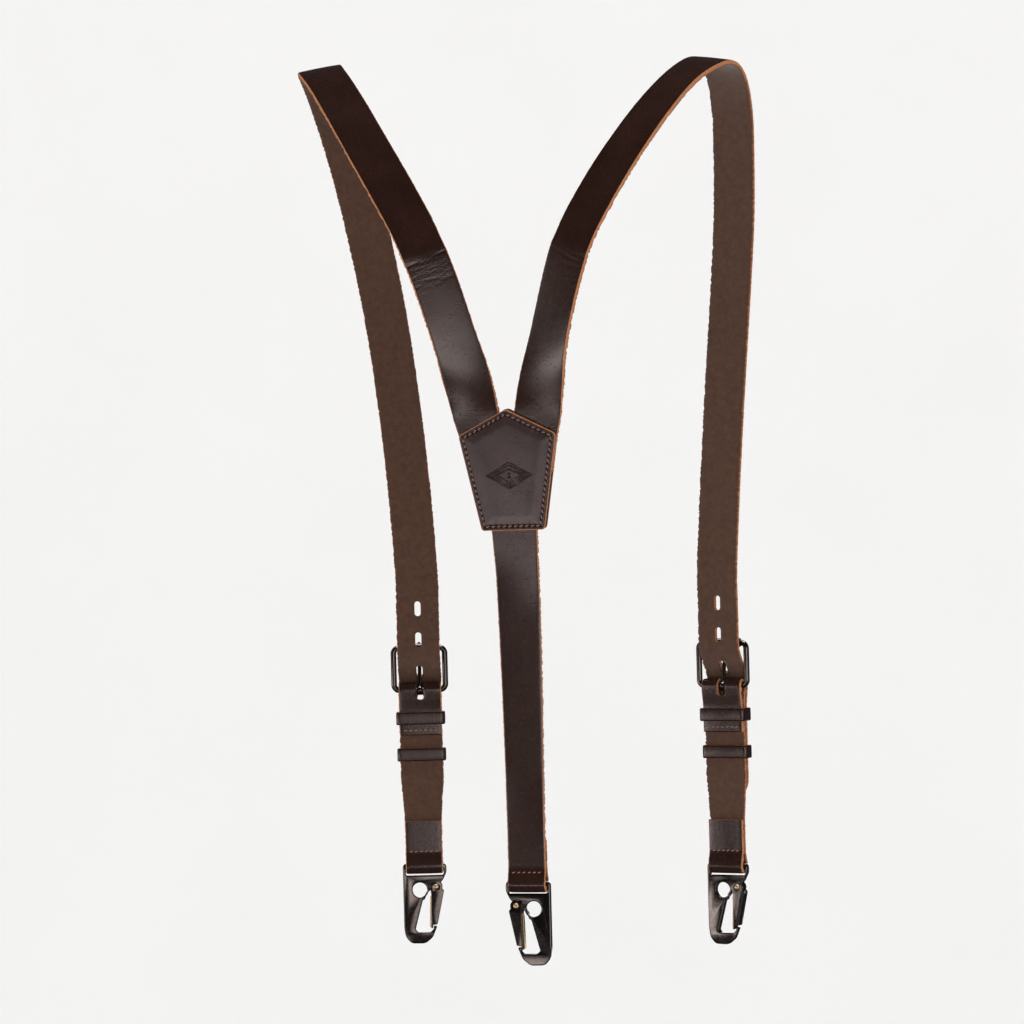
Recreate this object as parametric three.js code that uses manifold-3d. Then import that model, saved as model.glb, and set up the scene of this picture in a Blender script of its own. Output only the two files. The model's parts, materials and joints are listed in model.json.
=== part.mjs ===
// Leather Y-back suspenders, modelled as they hang on a wearer's shoulders.
// Millimetres, +Z up. The wearer faces +Y, so the wearer's right side is +X.
// The origin lies midway between the shoulders at the height of the straps there.
import * as THREE from "three";
import Module from "manifold-3d";
import { mergeVertices } from "three/addons/utils/BufferGeometryUtils.js";

const wasm = await Module();
wasm.setup();

// Leather
const STRAP_WIDTH = 30;
const STRAP_THICKNESS = 3.2;
const STRAP_END_WIDTH = 26; // where a strap is folded round a hook's bar
const YOKE_FLARE = 2; // how much wider each strap is where it leaves the yoke
const YOKE_TRIM = 0.8; // how much is pared off each side of a shoulder strap's end inside the yoke
const DROP_THICKNESS = 2.8;
const PATCH_THICKNESS = 2.6;
const BACKING_THICKNESS = 2;
const KEEPER_THICKNESS = 1.8;
const KEEPER_HEIGHT = 9;
const LAYER_GAP = 0.3; // between two pieces of leather that lie on each other
const EDGE_CHAMFER = 0.5;

// Yoke: the plane in which the three straps meet
const YOKE_CENTRE = new THREE.Vector3(0, -40, -275);
const YOKE_PITCH = THREE.MathUtils.degToRad(9); // its top leans out over its foot
const PATCH_OUTLINE = [
  [0, 41],
  [33.5, 24],
  [21.6, -40.5],
  [-21.6, -40.5],
  [-33.5, 24],
];

// Route of the right shoulder strap's mid-thickness line from the yoke to the front buckle, with the way
// its smooth face looks: [x, y, z, face x, face y, face z]. The left strap is its mirror image.
const SHOULDER_ROUTE = [
  [15.2, -40, -275, 0, -0.988, -0.156],
  [19.0, -43.96, -250, 0, -0.988, -0.156],
  [21.6, -46.18, -236, 0, -0.988, -0.156],
  [24.2, -48.39, -222, -0.14, -0.98, -0.15],
  [29.2, -52.1, -200, -0.34, -0.93, -0.14],
  [35.6, -55.7, -176, -0.41, -0.91, -0.12],
  [42.8, -58.8, -151, -0.4, -0.91, -0.1],
  [48.6, -60.8, -134, -0.38, -0.92, -0.07],
  [52.0, -60.95, -126, -0.36, -0.92, 0.09],
  [59.6, -59.2, -110, -0.34, -0.92, 0.16],
  [74.6, -55.2, -84, -0.31, -0.89, 0.28],
  [90.4, -48.0, -59, -0.28, -0.83, 0.42],
  [105.2, -38.0, -37, -0.2, -0.72, 0.62],
  [119.0, -25.5, -19, -0.06, -0.5, 0.85],
  [129.8, -11.0, -8.5, 0.11, -0.24, 0.96],
  [136.2, 4.0, -5, 0.2, 0.08, 0.97],
  [139.2, 20.0, -9, 0.26, 0.36, 0.89],
  [139.6, 36.0, -20, 0.27, 0.58, 0.76],
  [138.4, 52.0, -38, 0.27, 0.74, 0.6],
  [135.2, 68.0, -67, 0.26, 0.85, 0.42],
  [131.2, 82.0, -106, 0.25, 0.92, 0.28],
  [125.4, 92.5, -155, 0.245, 0.95, 0.16],
  [119.6, 98.2, -208, 0.242, 0.965, 0.08],
  [114.6, 100.9, -262, 0.242, 0.97, 0.03],
  [110.9, 101.5, -312, 0.242, 0.97, 0],
];

const LEFT_RISE = 8; // the wearer's left shoulder stands a little higher and further out
const LEFT_SPREAD = 4;

// Front: one upright assembly below each shoulder, measured from the buckle's heel bar
const FRONT_YAW = THREE.MathUtils.degToRad(14); // it faces a little outwards round the chest
const HEEL_BAR = new THREE.Vector3(110, 106, -428);
const DROP_LENGTH = 125; // from the heel bar to the hook's bar
const FOLD_BACK = 32; // how far each folded end runs back behind the drop strap
const TAIL_END = -80;
const TAIL_TIP = 15;
const HOLE_PITCH = 22;
const HOLE_LENGTH = 10.5;
const HOLE_WIDTH = 4.4;

// Buckle
const BAR_RADIUS = 2;
const FRAME_HALF_WIDTH = 18.2;
const FRAME_LENGTH = 30;
const FRAME_CORNER = 4;
const ROLLER_BORE = 2.3;
const ROLLER_RADIUS = 3.1;
const ROLLER_LENGTH = 28;
const PRONG_RADIUS = 1.4;
const PRONG_EYE_BORE = 2.35;
const PRONG_EYE_RADIUS = 3.6;
const PRONG_EYE_WIDTH = 3.6;
const PRONG_SLOT = 5.2;

// Hook, measured from the middle of the bar its strap is folded round
const BACK_HOOK_BAR = new THREE.Vector3(0, -22.25, -553);
const BACK_FOLD_END = 29;
const HOOK_THICKNESS = 3.8;
const HOOK_BEVEL = 0.5;
const FOLD_BORE = 2.75;
const PIVOT = [-8, -14.9];
const EYE = [3.7, -16.9];
const EYE_RADIUS = 5.2;
const PIVOT_TAB_RADIUS = 3.9;
const PIVOT_EAR_RADIUS = 4.3;
const PIVOT_BORE = 1.65;
const RIVET_RADIUS = 1.4;
const RIVET_HEAD_RADIUS = 2;
const GATE_THICKNESS = 6.4;
const GATE_INSIDE = 4.4; // the channel of the gate that the hook's tab fits into
const SPRING_WIDTH = 3.4;
const SPRING_THICKNESS = 0.7;

const LEATHER = { color: 0x3a2620, roughness: 0.5, metalness: 0 };
const BLACK_NICKEL = { color: 0x1c1a19, roughness: 0.25, metalness: 1 };
const BRASS = { color: 0xb29a6a, roughness: 0.35, metalness: 1 };

const suspenders = new THREE.Group();
suspenders.name = "suspenders";

// ---------------------------------------------------------------- helpers

function addNode(name, geometry, look) {
  const mesh = new THREE.Mesh(geometry, new THREE.MeshStandardMaterial(look));
  mesh.name = name;
  suspenders.add(mesh);
}

function signedVolume(geometry) {
  const flat = geometry.index ? geometry.toNonIndexed() : geometry;
  const p = flat.attributes.position;
  const a = new THREE.Vector3();
  const b = new THREE.Vector3();
  const c = new THREE.Vector3();
  let volume = 0;
  for (let i = 0; i < p.count; i += 3) {
    a.fromBufferAttribute(p, i);
    b.fromBufferAttribute(p, i + 1);
    c.fromBufferAttribute(p, i + 2);
    volume += a.dot(b.cross(c)) / 6;
  }
  return volume;
}

function facingOut(geometry) {
  if (signedVolume(geometry) < 0) {
    const index = geometry.index.array;
    for (let i = 0; i < index.length; i += 3) {
      [index[i + 1], index[i + 2]] = [index[i + 2], index[i + 1]];
    }
  }
  return geometry;
}

function toSolid(geometry) {
  const bare = geometry.clone();
  bare.deleteAttribute("normal");
  bare.deleteAttribute("uv");
  const merged = facingOut(mergeVertices(bare, 1e-4));
  return new wasm.Manifold(
    new wasm.Mesh({
      numProp: 3,
      vertProperties: merged.attributes.position.array,
      triVerts: new Uint32Array(merged.index.array),
    }),
  );
}

function toGeometry(solid) {
  const mesh = solid.getMesh();
  const geometry = new THREE.BufferGeometry();
  geometry.setAttribute(
    "position",
    new THREE.BufferAttribute(new Float32Array(mesh.vertProperties), 3),
  );
  geometry.setIndex(new THREE.BufferAttribute(mesh.triVerts, 1));
  geometry.computeVertexNormals();
  return geometry;
}

// The frame of an assembly that hangs upright: x across, y up, z out of the smooth face.
function hangingFrame(origin, outwards) {
  const up = new THREE.Vector3(0, 0, 1);
  const across = new THREE.Vector3().crossVectors(up, outwards);
  return new THREE.Matrix4().makeBasis(across, up, outwards).setPosition(origin);
}

// Stations along a route: a point and the two directions of the section there.
function station(point, tangent, face) {
  const across = new THREE.Vector3().crossVectors(tangent, face).normalize();
  const normal = new THREE.Vector3().crossVectors(across, tangent).normalize();
  return { point, across, normal };
}

// A solid whose section is carried from station to station; section(i) gives [across, normal] pairs.
function sweep(stations, section, closed = false) {
  const rings = stations.map((s, i) =>
    section(i).map(([a, n]) =>
      s.point.clone().addScaledVector(s.across, a).addScaledVector(s.normal, n),
    ),
  );
  const sides = rings[0].length;
  const positions = rings.flat().flatMap((v) => [v.x, v.y, v.z]);
  const index = [];
  const spans = closed ? rings.length : rings.length - 1;
  for (let i = 0; i < spans; i += 1) {
    const here = i * sides;
    const next = ((i + 1) % rings.length) * sides;
    for (let j = 0; j < sides; j += 1) {
      const k = (j + 1) % sides;
      index.push(here + j, here + k, next + k, here + j, next + k, next + j);
    }
  }
  if (!closed) {
    const last = (rings.length - 1) * sides;
    for (let j = 1; j < sides - 1; j += 1) {
      index.push(0, j + 1, j);
      index.push(last, last + j, last + j + 1);
    }
  }
  const geometry = new THREE.BufferGeometry();
  geometry.setAttribute("position", new THREE.Float32BufferAttribute(positions, 3));
  geometry.setIndex(index);
  facingOut(geometry).computeVertexNormals();
  return geometry;
}

function strapSection(halfWidth, thickness) {
  const h = halfWidth;
  const t = thickness / 2;
  const c = EDGE_CHAMFER;
  return [
    [h - c, -t],
    [h, -t + c],
    [h, t - c],
    [h - c, t],
    [-h + c, t],
    [-h, t - c],
    [-h, -t + c],
    [-h + c, -t],
  ];
}

function circleSection(radius, sides) {
  return Array.from({ length: sides }, (_, i) => {
    const angle = (2 * Math.PI * (i + 0.5)) / sides;
    return [radius * Math.cos(angle), radius * Math.sin(angle)];
  });
}

// Stations of a strap whose centre line is a flat curve of [y, z] points in the x = 0 plane.
function flatStations(points, steps) {
  const curve = new THREE.CatmullRomCurve3(
    points.map(([y, z]) => new THREE.Vector3(0, y, z)),
    false,
    "catmullrom",
    0.5,
  );
  const count = (points.length - 1) * steps;
  return Array.from({ length: count + 1 }, (_, i) => {
    const tangent = curve.getTangent(i / count);
    const face = new THREE.Vector3(0, -tangent.z, tangent.y);
    return station(curve.getPoint(i / count), tangent, face);
  });
}

// Points of a half turn round (y, z) at a radius, from one angle to another, in [y, z].
function turn(y, z, radius, from, to, count) {
  return Array.from({ length: count + 1 }, (_, i) => {
    const angle = THREE.MathUtils.degToRad(from + ((to - from) * i) / count);
    return [y + radius * Math.cos(angle), z + radius * Math.sin(angle)];
  });
}

// An outline with rounded corners, always laid out counterclockwise.
function roundedShape(corners, cornerRadii) {
  const flat = corners.map((p) => new THREE.Vector2(...p));
  const clockwise = THREE.ShapeUtils.isClockWise(flat);
  const points = clockwise ? [...corners].reverse() : corners;
  const radii = clockwise ? [...cornerRadii].reverse() : cornerRadii;
  const shape = new THREE.Shape();
  points.forEach((p, i) => {
    const before = points[(i + points.length - 1) % points.length];
    const after = points[(i + 1) % points.length];
    const corner = new THREE.Vector2(...p);
    const back = new THREE.Vector2(...before).sub(corner).normalize();
    const on = new THREE.Vector2(...after).sub(corner).normalize();
    const start = corner.clone().addScaledVector(back, radii[i]);
    const end = corner.clone().addScaledVector(on, radii[i]);
    if (i === 0) shape.moveTo(start.x, start.y);
    else shape.lineTo(start.x, start.y);
    if (radii[i] > 0) shape.quadraticCurveTo(corner.x, corner.y, end.x, end.y);
  });
  shape.closePath();
  return shape;
}

function plate(shape, thickness, bevel, curveSegments = 3) {
  const geometry = new THREE.ExtrudeGeometry(shape, {
    depth: thickness - 2 * bevel,
    bevelEnabled: bevel > 0,
    bevelThickness: bevel,
    bevelSize: bevel,
    bevelOffset: -bevel,
    bevelSegments: 1,
    curveSegments,
  });
  return geometry.translate(0, 0, bevel - thickness / 2);
}

function rodAlongZ(x, y, radius, length, sides = 16) {
  return wasm.Manifold.cylinder(length, radius, radius, sides, true).translate([x, y, 0]);
}

function rodAlongX(radius, length, sides = 16) {
  return wasm.Manifold.cylinder(length, radius, radius, sides, true).rotate([0, 90, 0]);
}

function block(width, depth, height, x, y, z) {
  return wasm.Manifold.cube([width, depth, height], true).translate([x, y, z]);
}

// ---------------------------------------------------------------- yoke

function yokePlate(thickness, offset, bevel) {
  const shape = roundedShape(PATCH_OUTLINE, [2, 2.5, 2, 2, 2.5]);
  const geometry = plate(shape, thickness, bevel);
  const across = new THREE.Vector3(1, 0, 0);
  const up = new THREE.Vector3(0, -Math.sin(YOKE_PITCH), Math.cos(YOKE_PITCH));
  const out = new THREE.Vector3().crossVectors(across, up);
  const frame = new THREE.Matrix4().makeBasis(across, up, out);
  frame.setPosition(YOKE_CENTRE.clone().addScaledVector(out, offset));
  return geometry.applyMatrix4(frame);
}

function addYoke() {
  const patchOffset = (STRAP_THICKNESS + PATCH_THICKNESS) / 2 + LAYER_GAP;
  const backingOffset = (STRAP_THICKNESS + BACKING_THICKNESS) / 2 + LAYER_GAP;
  addNode("yoke_patch", yokePlate(PATCH_THICKNESS, patchOffset, 0.4), LEATHER);
  addNode("yoke_backing", yokePlate(BACKING_THICKNESS, -backingOffset, 0.3), LEATHER);
}

// ---------------------------------------------------------------- shoulder straps

function frontFrame(side) {
  const origin = HEEL_BAR.clone();
  origin.x *= side;
  const out = new THREE.Vector3(side * Math.sin(FRONT_YAW), Math.cos(FRONT_YAW), 0);
  return hangingFrame(origin, out);
}

// How far out the shoulder strap's centre line lies at a height above the heel bar: behind the
// roller, then forwards over the drop strap's fold and down its face.
function tailOffset(y) {
  const behindRoller = -(ROLLER_RADIUS + 0.35 + STRAP_THICKNESS / 2);
  const halfStrap = 0.35 + STRAP_THICKNESS / 2;
  const overFold = BAR_RADIUS + 0.3 + DROP_THICKNESS + halfStrap;
  const onFace = LAYER_GAP / 2 + DROP_THICKNESS + halfStrap;
  const climb = THREE.MathUtils.smoothstep(-y, -29, -3);
  const settle = THREE.MathUtils.smoothstep(-y, 1, 15);
  return behindRoller + climb * (overFold - behindRoller) - settle * (overFold - onFace);
}

function shoulderStations(side) {
  const frame = frontFrame(side);
  const out = new THREE.Vector3().setFromMatrixColumn(frame, 2);
  const points = [];
  const faces = [];
  for (const [x, y, z, fx, fy, fz] of SHOULDER_ROUTE) {
    const shoulder = side < 0 ? THREE.MathUtils.smoothstep(z, -150, -20) : 0;
    const reach = x + LEFT_SPREAD * shoulder;
    points.push(new THREE.Vector3(side * reach, y, z + LEFT_RISE * shoulder));
    faces.push(new THREE.Vector3(side * fx, fy, fz));
  }
  for (const y of [78, 62, 48, 35]) {
    points.push(new THREE.Vector3(0, y, tailOffset(y)).applyMatrix4(frame));
    faces.push(out.clone());
  }
  const line = new THREE.CatmullRomCurve3(points, false, "catmullrom", 0.5);
  const look = new THREE.CatmullRomCurve3(faces, false, "catmullrom", 0.5);
  const count = (points.length - 1) * 2;
  const stations = [];
  for (let i = 0; i <= count; i += 1) {
    const t = i / count;
    stations.push(station(line.getPoint(t), line.getTangent(t), look.getPoint(t)));
  }
  const down = new THREE.Vector3(0, 0, -1);
  for (let y = 32; y > TAIL_END; y -= y > -18 ? 3 : y > TAIL_END + TAIL_TIP ? 8 : 2.5) {
    const slope = tailOffset(y - 0.5) - tailOffset(y + 0.5);
    const point = new THREE.Vector3(0, y, tailOffset(y)).applyMatrix4(frame);
    const tangent = down.clone().addScaledVector(out, slope).normalize();
    stations.push({ ...station(point, tangent, out), fromEnd: y - TAIL_END });
  }
  return stations;
}

// A shoulder strap is pared inside the yoke, flares just above it and has a round tip at the front.
function shoulderHalfWidth(s) {
  const smoothstep = THREE.MathUtils.smoothstep;
  const half = STRAP_WIDTH / 2;
  if (s.fromEnd !== undefined && s.fromEnd <= TAIL_TIP) {
    const along = 1 - s.fromEnd / TAIL_TIP;
    return half * Math.sqrt(Math.max(1 - along * along, 0.02));
  }
  const { y, z } = s.point;
  if (y > 0) return half;
  const pared = YOKE_TRIM * (1 - smoothstep(z, -268, -250));
  return half - pared + (YOKE_FLARE / 2) * smoothstep(z, -255, -238) * (1 - smoothstep(z, -215, -185));
}

// One oval punch through the shoulder strap at a height above the heel bar.
function punch(y, frame) {
  const half = (HOLE_LENGTH - HOLE_WIDTH) / 2;
  const round = [-half, half].map((at) => rodAlongZ(0, at, HOLE_WIDTH / 2, 14, 12));
  const middle = block(HOLE_WIDTH, 2 * half, 14, 0, 0, 0);
  const slope = (tailOffset(y + 0.5) - tailOffset(y - 0.5)) / 1;
  const lean = THREE.MathUtils.radToDeg(Math.atan(slope));
  return round[0]
    .add(round[1])
    .add(middle)
    .rotate([lean, 0, 0])
    .translate([0, y, tailOffset(y)])
    .transform(frame.elements);
}

function addShoulderStrap(name, side) {
  const stations = shoulderStations(side);
  const body = sweep(stations, (i) => strapSection(shoulderHalfWidth(stations[i]), STRAP_THICKNESS));
  const frame = frontFrame(side);
  let strap = toSolid(body);
  for (let i = -2; i <= 3; i += 1) {
    strap = strap.subtract(punch(13.8 - i * HOLE_PITCH, frame));
  }
  addNode(name + "_shoulder_strap", toGeometry(strap), LEATHER);
}

// ---------------------------------------------------------------- back strap

function addBackStrap() {
  const bar = BACK_HOOK_BAR;
  const fold = FOLD_BORE + STRAP_THICKNESS / 2;
  const flat = (STRAP_THICKNESS + LAYER_GAP) / 2;
  const lean = Math.tan(YOKE_PITCH);
  const onYoke = (z) => [YOKE_CENTRE.y + (YOKE_CENTRE.z - z) * lean, z];
  const route = [
    onYoke(-276.2),
    onYoke(-290),
    onYoke(-305),
    onYoke(-320),
    [-29.2, -346],
    [-26.2, -380],
    [-24.5, -425],
    [-24, -475],
    [bar.y - flat, bar.z + 28],
    [bar.y - flat, bar.z + 15],
    [bar.y - flat - 0.15, bar.z + 9.5],
    [bar.y - flat - 1.5, bar.z + 4.8],
    ...turn(bar.y, bar.z, fold, 180, 360, 6),
    [bar.y + flat + 1.5, bar.z + 4.8],
    [bar.y + flat + 0.15, bar.z + 9.5],
    [bar.y + flat, bar.z + 15],
    [bar.y + flat, bar.z + BACK_FOLD_END],
  ];
  const stations = flatStations(route, 2);
  const body = sweep(stations, (i) => {
    const down = (-320 - stations[i].point.z) / 160;
    const taper = THREE.MathUtils.clamp(down, 0, 1);
    const flare = 1 - THREE.MathUtils.smoothstep(-stations[i].point.z, 300, 350);
    const width = STRAP_WIDTH + YOKE_FLARE * flare + taper * (STRAP_END_WIDTH - STRAP_WIDTH);
    return strapSection(width / 2, STRAP_THICKNESS);
  });
  addNode("back_strap", body, LEATHER);
}

// ---------------------------------------------------------------- front drop strap and buckle

// A strap folded round the heel bar above and the hook's bar below; its centre line in [y, z].
function dropRoute() {
  const flat = (DROP_THICKNESS + LAYER_GAP) / 2;
  const top = BAR_RADIUS + 0.3 + DROP_THICKNESS / 2;
  const bottom = FOLD_BORE + DROP_THICKNESS / 2;
  const hook = -DROP_LENGTH;
  return [
    [-FOLD_BACK, -flat],
    [-20, -flat],
    [-14, -flat - 0.15],
    [-6, -flat - 1.4],
    ...turn(0, 0, top, -90, 90, 6),
    [-6, flat + 1.4],
    [-14, flat + 0.15],
    [-20, flat],
    [-45, flat],
    [-70, flat],
    [hook + 32, flat],
    [hook + 15, flat],
    [hook + 9.5, flat + 0.15],
    [hook + 4.8, flat + 1.5],
    ...turn(hook, 0, bottom, 90, 270, 6),
    [hook + 4.8, -flat - 1.5],
    [hook + 9.5, -flat - 0.15],
    [hook + 15, -flat],
    [hook + FOLD_BACK, -flat],
  ];
}

function addDropStrap(name, frame) {
  const stations = flatStations(dropRoute(), 2);
  const body = sweep(stations, (i) => {
    const down = (-62 - stations[i].point.y) / 30;
    const taper = THREE.MathUtils.clamp(down, 0, 1);
    const width = STRAP_WIDTH + taper * (STRAP_END_WIDTH - STRAP_WIDTH);
    return strapSection(width / 2, DROP_THICKNESS);
  });
  const slot = block(PRONG_SLOT, 17, 16, 0, 1.5, 0);
  const strap = toGeometry(toSolid(body).subtract(slot));
  addNode(name + "_drop_strap", strap.applyMatrix4(frame), LEATHER);
}

function addFrame(name, frame) {
  const corners = [
    [FRAME_HALF_WIDTH - FRAME_CORNER, FRAME_CORNER, -90],
    [FRAME_HALF_WIDTH - FRAME_CORNER, FRAME_LENGTH - FRAME_CORNER, 0],
    [-FRAME_HALF_WIDTH + FRAME_CORNER, FRAME_LENGTH - FRAME_CORNER, 90],
    [-FRAME_HALF_WIDTH + FRAME_CORNER, FRAME_CORNER, 180],
  ];
  const face = new THREE.Vector3(0, 0, 1);
  const stations = [];
  for (const [x, y, start] of corners) {
    for (let i = 0; i <= 4; i += 1) {
      const angle = THREE.MathUtils.degToRad(start + (90 * i) / 4);
      const point = new THREE.Vector3(x, y, 0);
      point.x += FRAME_CORNER * Math.cos(angle);
      point.y += FRAME_CORNER * Math.sin(angle);
      const tangent = new THREE.Vector3(-Math.sin(angle), Math.cos(angle), 0);
      stations.push(station(point, tangent, face));
    }
  }
  const body = sweep(stations, () => circleSection(BAR_RADIUS, 12), true);
  addNode(name + "_buckle_frame", body.applyMatrix4(frame), BLACK_NICKEL);
}

function addRoller(name, frame) {
  const tube = rodAlongX(ROLLER_RADIUS, ROLLER_LENGTH, 24);
  const bore = rodAlongX(ROLLER_BORE, ROLLER_LENGTH + 2, 24);
  const roller = toGeometry(tube.subtract(bore).translate([0, FRAME_LENGTH, 0]));
  addNode(name + "_buckle_roller", roller.applyMatrix4(frame), BLACK_NICKEL);
}

function addProng(name, frame) {
  const route = [
    [2.9, 0.3],
    [9, 1.36],
    [16, 2.42],
    [24, 3.7],
    [28.5, 4.5],
    [31.5, 4.72],
    [34, 4.3],
  ];
  const stations = flatStations(route, 2);
  const shank = toSolid(
    sweep(stations, (i) => {
      const along = i / (stations.length - 1);
      return circleSection(PRONG_RADIUS * (1 - 0.15 * along), 10);
    }),
  );
  const eye = rodAlongX(PRONG_EYE_RADIUS, PRONG_EYE_WIDTH, 20);
  const bore = rodAlongX(PRONG_EYE_BORE, PRONG_EYE_WIDTH + 2, 20);
  const prong = toGeometry(eye.add(shank).subtract(bore));
  addNode(name + "_buckle_prong", prong.applyMatrix4(frame), BLACK_NICKEL);
}

// A band round the straps: its bottom face lies at back, its top face at front.
function addKeeper(name, frame, y, back, front) {
  const t = KEEPER_THICKNESS;
  const w = STRAP_WIDTH / 2 + 0.5 + t;
  const middle = (front + back) / 2;
  const d = (front - back) / 2 + t;
  const ring = (half, depth) => [
    [-half, -depth],
    [half, -depth],
    [half, depth],
    [-half, depth],
  ];
  const outer = roundedShape(ring(w, d), [2.4, 2.4, 2.4, 2.4]);
  const inner = roundedShape(ring(w - t, d - t), [0.8, 0.8, 0.8, 0.8]);
  outer.holes.push(inner);
  const band = plate(outer, KEEPER_HEIGHT, 0.3, 3);
  band.rotateX(-Math.PI / 2).translate(0, y, middle);
  addNode(name, band.applyMatrix4(frame), LEATHER);
}

// ---------------------------------------------------------------- snap hook

function hookOutline() {
  const pivotPoint = (degrees) => {
    const angle = THREE.MathUtils.degToRad(degrees);
    return [
      PIVOT[0] + PIVOT_TAB_RADIUS * Math.cos(angle),
      PIVOT[1] + PIVOT_TAB_RADIUS * Math.sin(angle),
    ];
  };
  const tab = [-25, -58, -91, -124, -157, -190, -222].map(pivotPoint);
  const points = [
    [-15.5, 2],
    [15.5, 2],
    [15.5, -43],
    [14.6, -50],
    [10.5, -54.8],
    [0.5, -55],
    [-4.9, -50.6],
    [-8.1, -42.9],
    [-5.5, -42.3],
    [-5.4, -44.9],
    [-3.6, -46.8],
    [5.6, -46.8],
    [7.4, -45],
    [1.8, -24.4],
    [0.2, -23.6],
    [-1.2, -19.6],
    ...tab,
    [-13, -10],
    [-15.5, -4.8],
  ];
  const radii = [
    3.5, 3.5, 1.5, 2.4, 2.4, 2.4, 2, 1.1, 1.1, 0.6, 0.6, 0.9, 0.9, 0.85, 0.85, 1,
    ...tab.map(() => 0),
    1,
    1.5,
  ];
  return roundedShape(points, radii);
}

function addHook(name, frame) {
  const shape = hookOutline();
  const slot = [
    [-13.4, -2],
    [13.4, -2],
    [13.4, -6.4],
    [-13.4, -6.4],
  ];
  shape.holes.push(roundedShape(slot, [0.5, 0.5, 1.2, 1.2]));
  const bore = rodAlongZ(PIVOT[0], PIVOT[1], PIVOT_BORE, 10);
  const eye = rodAlongZ(EYE[0], EYE[1], EYE_RADIUS, 10, 28);
  const body = toSolid(plate(shape, HOOK_THICKNESS, HOOK_BEVEL)).subtract(bore).subtract(eye);
  addNode(name + "_hook_body", toGeometry(body).applyMatrix4(frame), BLACK_NICKEL);
  addGate(name, frame, bore);
  addSpring(name, frame);
  addRivet(name, frame);
}

function addGate(name, frame, bore) {
  const ear = (degrees) => {
    const angle = THREE.MathUtils.degToRad(degrees);
    return [
      PIVOT[0] + PIVOT_EAR_RADIUS * Math.cos(angle),
      PIVOT[1] + PIVOT_EAR_RADIUS * Math.sin(angle),
    ];
  };
  const knuckle = [-15, 12, 39, 66, 93, 120, 147, 174, 200].map(ear);
  const points = [
    ...knuckle,
    [-13.3, -18.2],
    [-8.3, -41.5],
    [-5.2, -41.8],
    [-4.9, -44.2],
    [-3.75, -44.2],
    [-4.4, -21.3],
  ];
  const radii = [...knuckle.map(() => 0), 0.5, 0.5, 0.3, 0.4, 0.4, 1];
  const outline = plate(roundedShape(points, radii), GATE_THICKNESS, 0.3, 2);
  const channel = block(16, 8.8, GATE_INSIDE, PIVOT[0], -14.8, 0);
  const round = rodAlongZ(PIVOT[0], PIVOT[1], PIVOT_EAR_RADIUS + 0.05, GATE_INSIDE, 24);
  const gate = toSolid(outline).subtract(channel).subtract(round).subtract(bore);
  addNode(name + "_hook_gate", toGeometry(gate).applyMatrix4(frame), BLACK_NICKEL);
}

function addSpring(name, frame) {
  const t = SPRING_THICKNESS;
  const leaf = roundedShape(
    [
      [-4.25, -21],
      [-4.25 + t, -21],
      [-3.5 + t, -43.4],
      [-3.5, -43.4],
    ],
    [0.1, 0.1, 0.1, 0.1],
  );
  const geometry = plate(leaf, SPRING_WIDTH, 0, 1);
  addNode(name + "_hook_spring", toGeometry(toSolid(geometry)).applyMatrix4(frame), BRASS);
}

function addRivet(name, frame) {
  const reach = GATE_THICKNESS / 2 + 0.2;
  const shank = rodAlongZ(PIVOT[0], PIVOT[1], RIVET_RADIUS, 2 * reach);
  const cap = wasm.Manifold.cylinder(0.9, RIVET_HEAD_RADIUS, 1.1, 16);
  const top = cap.translate([PIVOT[0], PIVOT[1], reach - 0.05]);
  const bottom = cap.rotate([180, 0, 0]).translate([PIVOT[0], PIVOT[1], 0.05 - reach]);
  const rivet = toGeometry(shank.add(top).add(bottom));
  addNode(name + "_hook_rivet", rivet.applyMatrix4(frame), BRASS);
}

// ---------------------------------------------------------------- assembly

addYoke();
addBackStrap();
addHook("back", hangingFrame(BACK_HOOK_BAR, new THREE.Vector3(0, -1, 0)));
for (const [name, side] of [
  ["left", -1],
  ["right", 1],
]) {
  const frame = frontFrame(side);
  const faceBack = -(DROP_THICKNESS + LAYER_GAP / 2);
  const tailFront = tailOffset(-30) + STRAP_THICKNESS / 2 + 0.35;
  const hookBar = new THREE.Vector3(0, -DROP_LENGTH, 0).applyMatrix4(frame);
  const out = new THREE.Vector3().setFromMatrixColumn(frame, 2);
  addShoulderStrap(name, side);
  addDropStrap(name, frame);
  addFrame(name, frame);
  addRoller(name, frame);
  addProng(name, frame);
  addKeeper(name + "_fixed_keeper", frame, -20, faceBack - 0.35, tailFront);
  addKeeper(name + "_loose_keeper", frame, -46, -0.2, tailFront);
  addHook(name, hangingFrame(hookBar, out));
}

export default suspenders;
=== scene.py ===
"""Leather Y-back suspenders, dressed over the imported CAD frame.

The wearer faces +Y and +Z is up. Lengths below are in millimetres and become metres when a mesh is made.
"""

import json
import math

import bmesh
import bpy
import numpy as np
from mathutils import Matrix, Quaternion, Vector

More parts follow.
